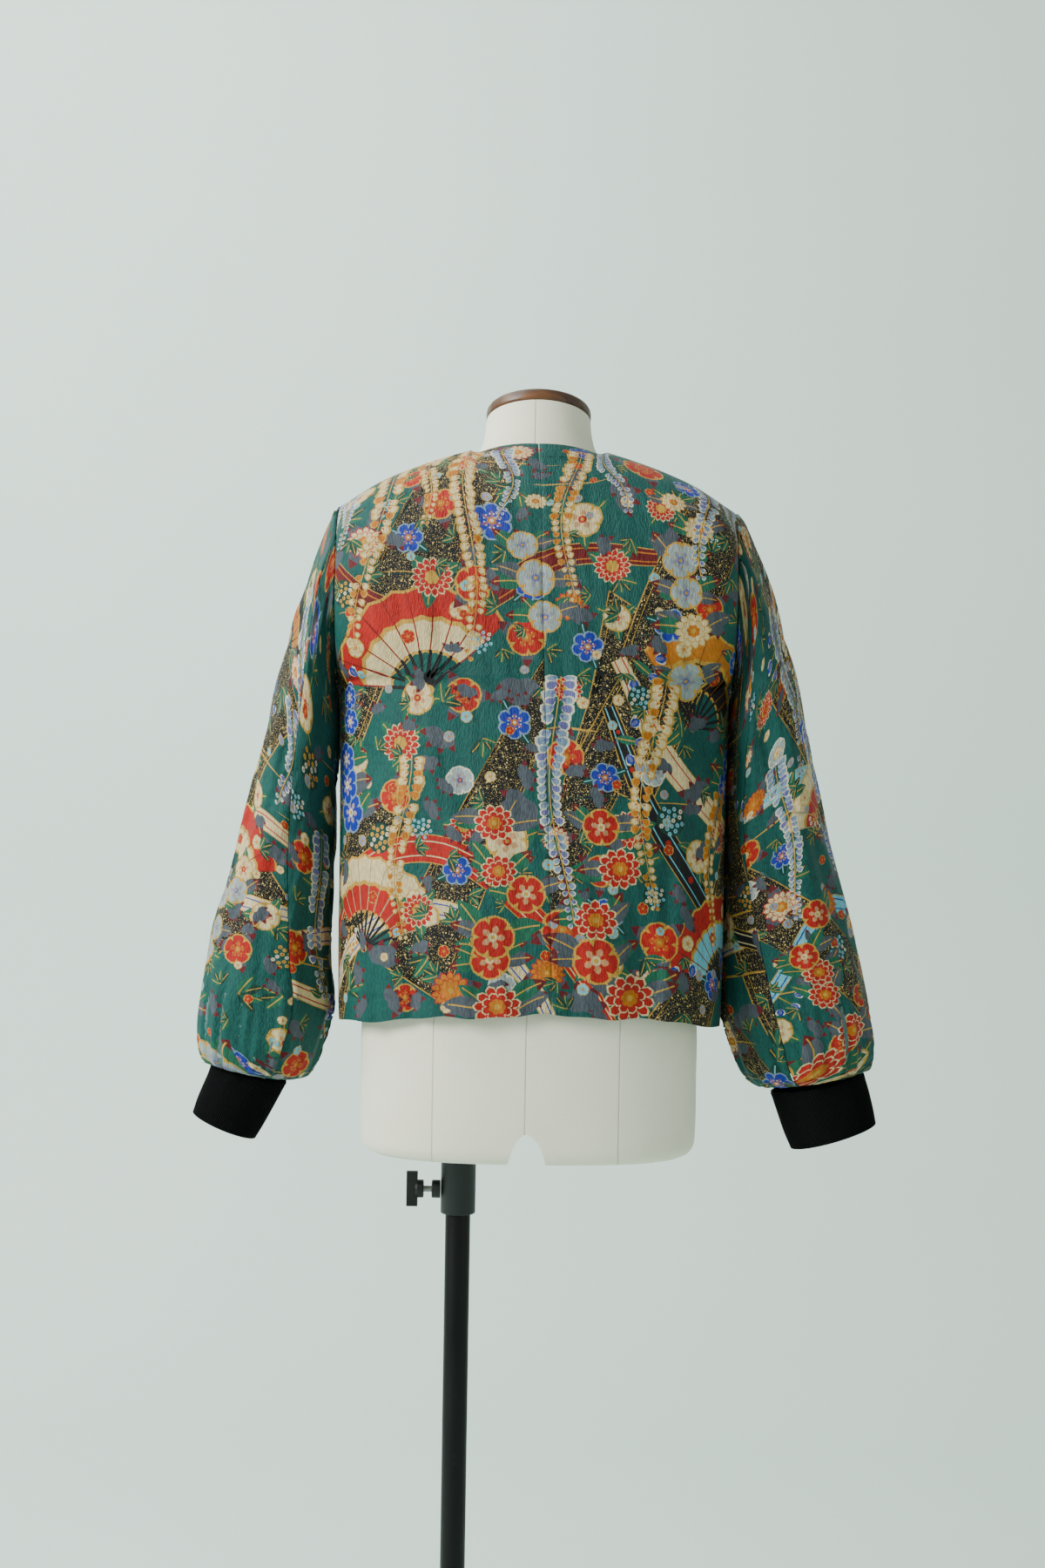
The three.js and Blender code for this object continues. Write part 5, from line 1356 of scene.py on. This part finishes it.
# ------------------------------------------------------------------ knit cuffs
def build_cuff(side):
    hand = 'left' if side < 0 else 'right'
    probe = cuff_point(side, np.linspace(0, 360, 361), 0.5)
    girth = np.linalg.norm(np.diff(probe, axis=0), axis=-1).sum()
    ribs = int(round(girth / 2.1))
    n = ribs * 4
    rows = 26
    ang = np.arange(n) / n * 360
    prof = []      # (k, depth inwards)
    for j in range(rows + 1):
        prof.append((0.02 + 0.98 * j / rows, 0.0))
    roll = [(1.0, 0.7), (0.995, 1.6), (0.985, 2.2)]
    prof += roll
    for j in range(9):
        prof.append((0.98 - 0.96 * j / 8, 2.35))
    V = []
    fl = []
    for k, deep in prof:
        p = cuff_point(side, ang, np.full(n, min(1.0, k)))
        c = p.mean(0)
        e = 1.0
        r = p - c
        # outward direction in the ring's plane
        tan = np.roll(p, -1, 0) - np.roll(p, 1, 0)
        ax = cuff_point(side, ang, np.full(n, 1.0)) - cuff_point(side, ang, np.full(n, 0.0))
        nrm = np.cross(tan, ax)
        nrm /= np.linalg.norm(nrm, axis=1, keepdims=True)
        if (nrm * r).sum() < 0:
            nrm = -nrm
        rib = 0.6 * np.cos(np.radians(ang) * ribs) if deep == 0 else 0.2 * np.cos(np.radians(ang) * ribs)
        wob = 0.5 * np.sin(np.radians(ang) * 7 + 3 * k) * (1 - k) + 0.7 * np.sin(np.radians(ang) * 11 + 1) * np.exp(-(k / .12) ** 2)
        if k >= 1.0 and deep > 0:
            p = p + ax / np.linalg.norm(ax, axis=1, keepdims=True) * 0.3
        V.append(p + nrm * (rib + wob - 0.45 - deep)[:, None])
        fl.append(np.full(n, k * 60.0 if deep == 0 else 62 + (1 - k) * 55))
    V = np.array(V)
    m = len(prof)
    faces = []
    for j in range(m - 1):
        for i in range(n):
            a, b = j * n + i, j * n + (i + 1) % n
            f = (a, b, b + n, a + n)
            faces.append(f if side > 0 else f[::-1])
    # close the top between the outer and the inner face
    for i in range(n):
        a, b = i, (i + 1) % n
        c, d = (m - 1) * n + i, (m - 1) * n + (i + 1) % n
        f = (b, a, c, d)
        faces.append(f if side > 0 else f[::-1])
    ob = new_object(f"cuff_{hand}_knit", V.reshape(-1, 3) * MM, faces)
    me = ob.data
    prt = me.uv_layers.new(name="Print")
    uvs = []
    for j in range(m - 1):
        for i in range(n):
            q = [(i, fl[j][0]), (i + 1, fl[j][0]), (i + 1, fl[j + 1][0]), (i, fl[j + 1][0])]
            uvs += q if side > 0 else q[::-1]
    for i in range(n):
        q = [(i + 1, 0), (i, 0), (i, 2), (i + 1, 2)]
        uvs += q if side > 0 else q[::-1]
    uvs = np.array(uvs, float)
    uvs[:, 0] *= girth / n
    prt.data.foreach_set("uv", (uvs * 0.001).astype(np.float32).ravel())
    bake = me.uv_layers.new(name="OFBake")
    bk = uvs.copy()
    bk[:, 0] = bk[:, 0] / (girth + 2) * .98 + .005
    bk[:, 1] = bk[:, 1] / 125 * .98 + .005
    bake.data.foreach_set("uv", bk.astype(np.float32).ravel())
    me.materials.append(MAT_KNIT)
    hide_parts(f"cuff_{hand}")
    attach(ob, "form")
    return ob


for side in (-1, 1):
    build_cuff(side)


# ------------------------------------------------------------------ dress form
def build_form():
    sides = 160
    levels = np.concatenate([[787, 787.6, 788.6, 790, 792, 794.5, 797, 800], np.linspace(806, 1514, 119)])
    g = np.arange(sides) / sides * 2 * math.pi
    rings = []
    for z in levels:
        zz = np.full(sides, z)
        depth = np.where(np.cos(g) > 0, read(FORM, 'z', 'back', zz), read(FORM, 'z', 'front', zz))
        inset = 0.35
        x, d = squared(g, read(FORM, 'z', 'w', zz) - inset, depth - inset, read(FORM, 'z', 'n', zz))
        lean = np.radians(read(FORM, 'z', 'lean', zz))
        rings.append(np.stack([x, read(FORM, 'z', 'y', zz) - d * np.cos(lean), zz + d * np.sin(lean)], 1))
    V = np.concatenate(rings)
    faces = []
    for j in range(len(levels) - 1):
        for i in range(sides):
            a, b = j * sides + i, j * sides + (i + 1) % sides
            faces.append((a, b, b + sides, a + sides))
    faces.append(tuple(range(sides))[::-1])
    faces.append(tuple((len(levels) - 1) * sides + i for i in range(sides)))
    ob = new_object("form_cover", V * MM, faces)

    # arch between the lobes, and the bore for the pole
    def cutter(name, vs, fs):
        c = new_object(name, np.array(vs) * MM, fs, False)
        bm = bmesh.new()
        bm.from_mesh(c.data)
        bmesh.ops.recalc_face_normals(bm, faces=bm.faces)
        bm.to_mesh(c.data)
        bm.free()
        return c
    prof = [(-22, 760), (-19.6, 786)]
    for k in range(9):
        t = k / 8
        prof.append(((1 - t) ** 2 * -19 + 2 * t * (1 - t) * -12.5 + t * t * -2, (1 - t) ** 2 * 789 + 2 * t * (1 - t) * 816 + t * t * 818.4))
    for k in range(1, 9):
        t = k / 8
        prof.append(((1 - t) ** 2 * -2 + 2 * t * (1 - t) * 10.5 + t * t * 17, (1 - t) ** 2 * 818.4 + 2 * t * (1 - t) * 816 + t * t * 789))
    prof += [(17.6, 786), (20, 760)]
    n = len(prof)
    vs = [(x, -150, z) for x, z in prof] + [(x, 150, z) for x, z in prof]
    fs = [tuple(range(n)), tuple(range(n, 2 * n))] + [(i, (i + 1) % n, n + (i + 1) % n, n + i) for i in range(n)]
    arch = cutter("arch_cutter", vs, fs)
    k = 48
    vs = [(-68.5 + 15 * math.cos(2 * math.pi * i / k), 15 * math.sin(2 * math.pi * i / k), z) for z in (700, 1199) for i in range(k)]
    fs = [tuple(range(k)), tuple(range(k, 2 * k))] + [(i, (i + 1) % k, k + (i + 1) % k, k + i) for i in range(k)]
    bore = cutter("bore_cutter", vs, fs)
    for c in (arch, bore):
        md = ob.modifiers.new("cut", 'BOOLEAN')
        md.operation = 'DIFFERENCE'
        md.solver = 'EXACT'
        md.object = c
    bpy.context.view_layer.update()
    dg = bpy.context.evaluated_depsgraph_get()
    me = bpy.data.meshes.new_from_object(ob.evaluated_get(dg))
    ob.modifiers.clear()
    ob.data = me
    for c in (arch, bore):
        bpy.data.objects.remove(c)
    me.polygons.foreach_set("use_smooth", np.ones(len(me.polygons), bool))
    try:
        me.set_sharp_from_angle(angle=math.radians(38))
    except Exception:
        pass
    me.materials.clear()
    me.materials.append(MAT_FORM)
    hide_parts("form_torso")
    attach(ob, "form")
    return ob


build_form()


# ------------------------------------------------------------------ turned pieces and carried-over nodes
def turned_piece(name, profile, sides, place, mat, node_name, body, sharp=40):
    V, faces = [], []
    m = len(profile)
    for r, z in profile:
        for i in range(sides):
            a = 2 * math.pi * i / sides
            V.append((r * math.cos(a), r * math.sin(a), z))
    for j in range(m - 1):
        for i in range(sides):
            a, b = j * sides + i, j * sides + (i + 1) % sides
            faces.append((a, b, b + sides, a + sides))
    bm = bmesh.new()
    me = bpy.data.meshes.new(name)
    me.from_pydata([(v[0] * MM, v[1] * MM, v[2] * MM) for v in V], [], faces)
    bm.from_mesh(me)
    bmesh.ops.remove_doubles(bm, verts=bm.verts, dist=1e-6)
    bmesh.ops.recalc_face_normals(bm, faces=bm.faces)
    bm.to_mesh(me)
    bm.free()
    me.transform(place)
    me.polygons.foreach_set("use_smooth", np.ones(len(me.polygons), bool))
    me.set_sharp_from_angle(angle=math.radians(sharp))
    me.materials.append(mat)
    ob = bpy.data.objects.new(name, me)
    scene.collection.objects.link(ob)
    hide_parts(node_name)
    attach(ob, body)
    return ob


turned_piece("neck_cap_wood", [(0, 0), (50.2, 0), (51.4, .4), (52.2, 1.4), (52.5, 3), (52.5, 8), (52.2, 9.4), (51.4, 10.9), (50, 11.9), (48, 12.5),
                               (42, 13.1), (30, 13.8), (15, 14.2), (0, 14.35)], 112,
             Matrix.Translation((0, 0.006, 1.5145)) @ Matrix.Rotation(math.radians(-17), 4, 'X'), MAT_WOOD, "neck_cap", "form", 60)
turned_piece("pole_tube", [(0, 24.3), (12.5, 24.3), (12.5, 983), (12.1, 984.4), (10.5, 985), (0, 985)], 72,
             Matrix.Translation((-0.0685, 0, 0)), MAT_POLE, "pole", "stand")
turned_piece("base_disc", [(0, 0), (188, 0), (189.6, .6), (190, 2), (190, 6), (189.4, 7.2), (187.4, 8.3), (150, 9.7), (114, 11.4), (60, 13.6), (34, 15.4),
                           (28, 17), (26, 18.9), (24.6, 21.5), (24, 24), (22.4, 42.6), (21.4, 45), (19.5, 46), (12.8, 46), (12.8, 24), (0, 24)], 144,
             Matrix.Translation((-0.0685, 0, 0)), MAT_POLE, "base", "stand")
turned_piece("collar_tube", [(13, 722.5), (13.6, 721.6), (16.4, 721.5), (17.1, 721.9), (17.4, 722.7), (17.4, 774), (18.4, 776), (21, 779.2), (21.4, 780.2), (21.4, 782.4),
                             (13, 782.4), (13, 722.5)], 72, Matrix.Translation((-0.0685, 0, 0)), MAT_FIT, "collar", "form")
turned_piece("boss_ring", [(3.5, 0), (9, 0), (9, 7.4), (8.7, 8.2), (8.0, 8.6), (4, 8.6), (3.5, 8.2), (3.5, 0)], 48,
             Matrix.Translation((-0.0685 - 0.0174 - 0.0005, 0, 0.745)) @ Matrix.Rotation(-math.pi / 2, 4, 'Y'), MAT_FIT, "boss", "form")

for name, mat in (("plate", MAT_FIT), ("clamp_screw", MAT_STEEL), ("wing_knob", MAT_KNOB)):
    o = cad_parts[name]
    if o.data.materials:
        for i in range(len(o.material_slots)):
            o.material_slots[i].material = mat
    else:
        o.data.materials.append(mat)
    md = o.modifiers.new("edge", 'BEVEL')
    md.width = 0.0005
    md.segments = 2
    md.limit_method = 'ANGLE'

# ------------------------------------------------------------------ floor, backdrop, light
def backdrop():
    pts = [(-3.2, 0.0)]
    y = 1.6
    pts.append((y, 0.0))
    R = 1.0
    for k in range(1, 13):
        a = k / 12 * math.pi / 2
        pts.append((y + R * math.sin(a), R - R * math.cos(a)))
    pts.append((y + R, 5.0))
    V, F = [], []
    for px, (yy, zz) in enumerate(pts):
        V += [(-6, yy, zz), (6, yy, zz)]
    for i in range(len(pts) - 1):
        F.append((2 * i, 2 * i + 1, 2 * i + 3, 2 * i + 2))
    ob = new_object("studio_floor", np.array(V), F)
    m, nt, bsdf, nz, tc = noise_material("studio_paper", srgb(222, 238, 230), srgb(218, 235, 227), 1.2, (0.9, 0.95), 0, 0.02, 0.0001)
    # the wall is seen from its front only, so that views from behind it are clear
    geo = nt.nodes.new('ShaderNodeNewGeometry')
    clear = nt.nodes.new('ShaderNodeBsdfTransparent')
    both = nt.nodes.new('ShaderNodeMixShader')
    nt.links.new(geo.outputs['Backfacing'], both.inputs[0])
    nt.links.new(bsdf.outputs[0], both.inputs[1])
    nt.links.new(clear.outputs[0], both.inputs[2])
    nt.links.new(both.outputs[0], [n for n in nt.nodes if n.type == 'OUTPUT_MATERIAL'][0].inputs[0])
    ob.data.materials.append(m)
    ob.location.z = -0.0005


backdrop()


def area(name, loc, target, size, power, colour=(1, 1, 1), size_y=None):
    ld = bpy.data.lights.new(name, 'AREA')
    ld.shape = 'RECTANGLE'
    ld.size = size
    ld.size_y = size_y or size
    ld.energy = power
    ld.color = colour
    ob = bpy.data.objects.new(name, ld)
    scene.collection.objects.link(ob)
    ob.location = loc
    ob.rotation_euler = (Vector(target) - Vector(loc)).to_track_quat('-Z', 'Y').to_euler()
    return ob


area("key", (-2.8, -1.7, 2.6), (0, 0, 1.2), 1.1, 172, (1.0, 0.99, 0.97), 1.4)
area("fill", (2.6, -1.8, 1.6), (0, 0, 1.2), 2.2, 10, (0.95, 0.98, 1.0))
area("wall", (-1.5, 0.4, 3.2), (-0.6, 2.6, 1.0), 2.4, 84, (0.94, 1.0, 0.97))
world = bpy.data.worlds.new("studio")
scene.world = world
world.use_nodes = True
world.node_tree.nodes['Background'].inputs[0].default_value = (0.85, 0.95, 0.90, 1)
world.node_tree.nodes['Background'].inputs[1].default_value = 0.6
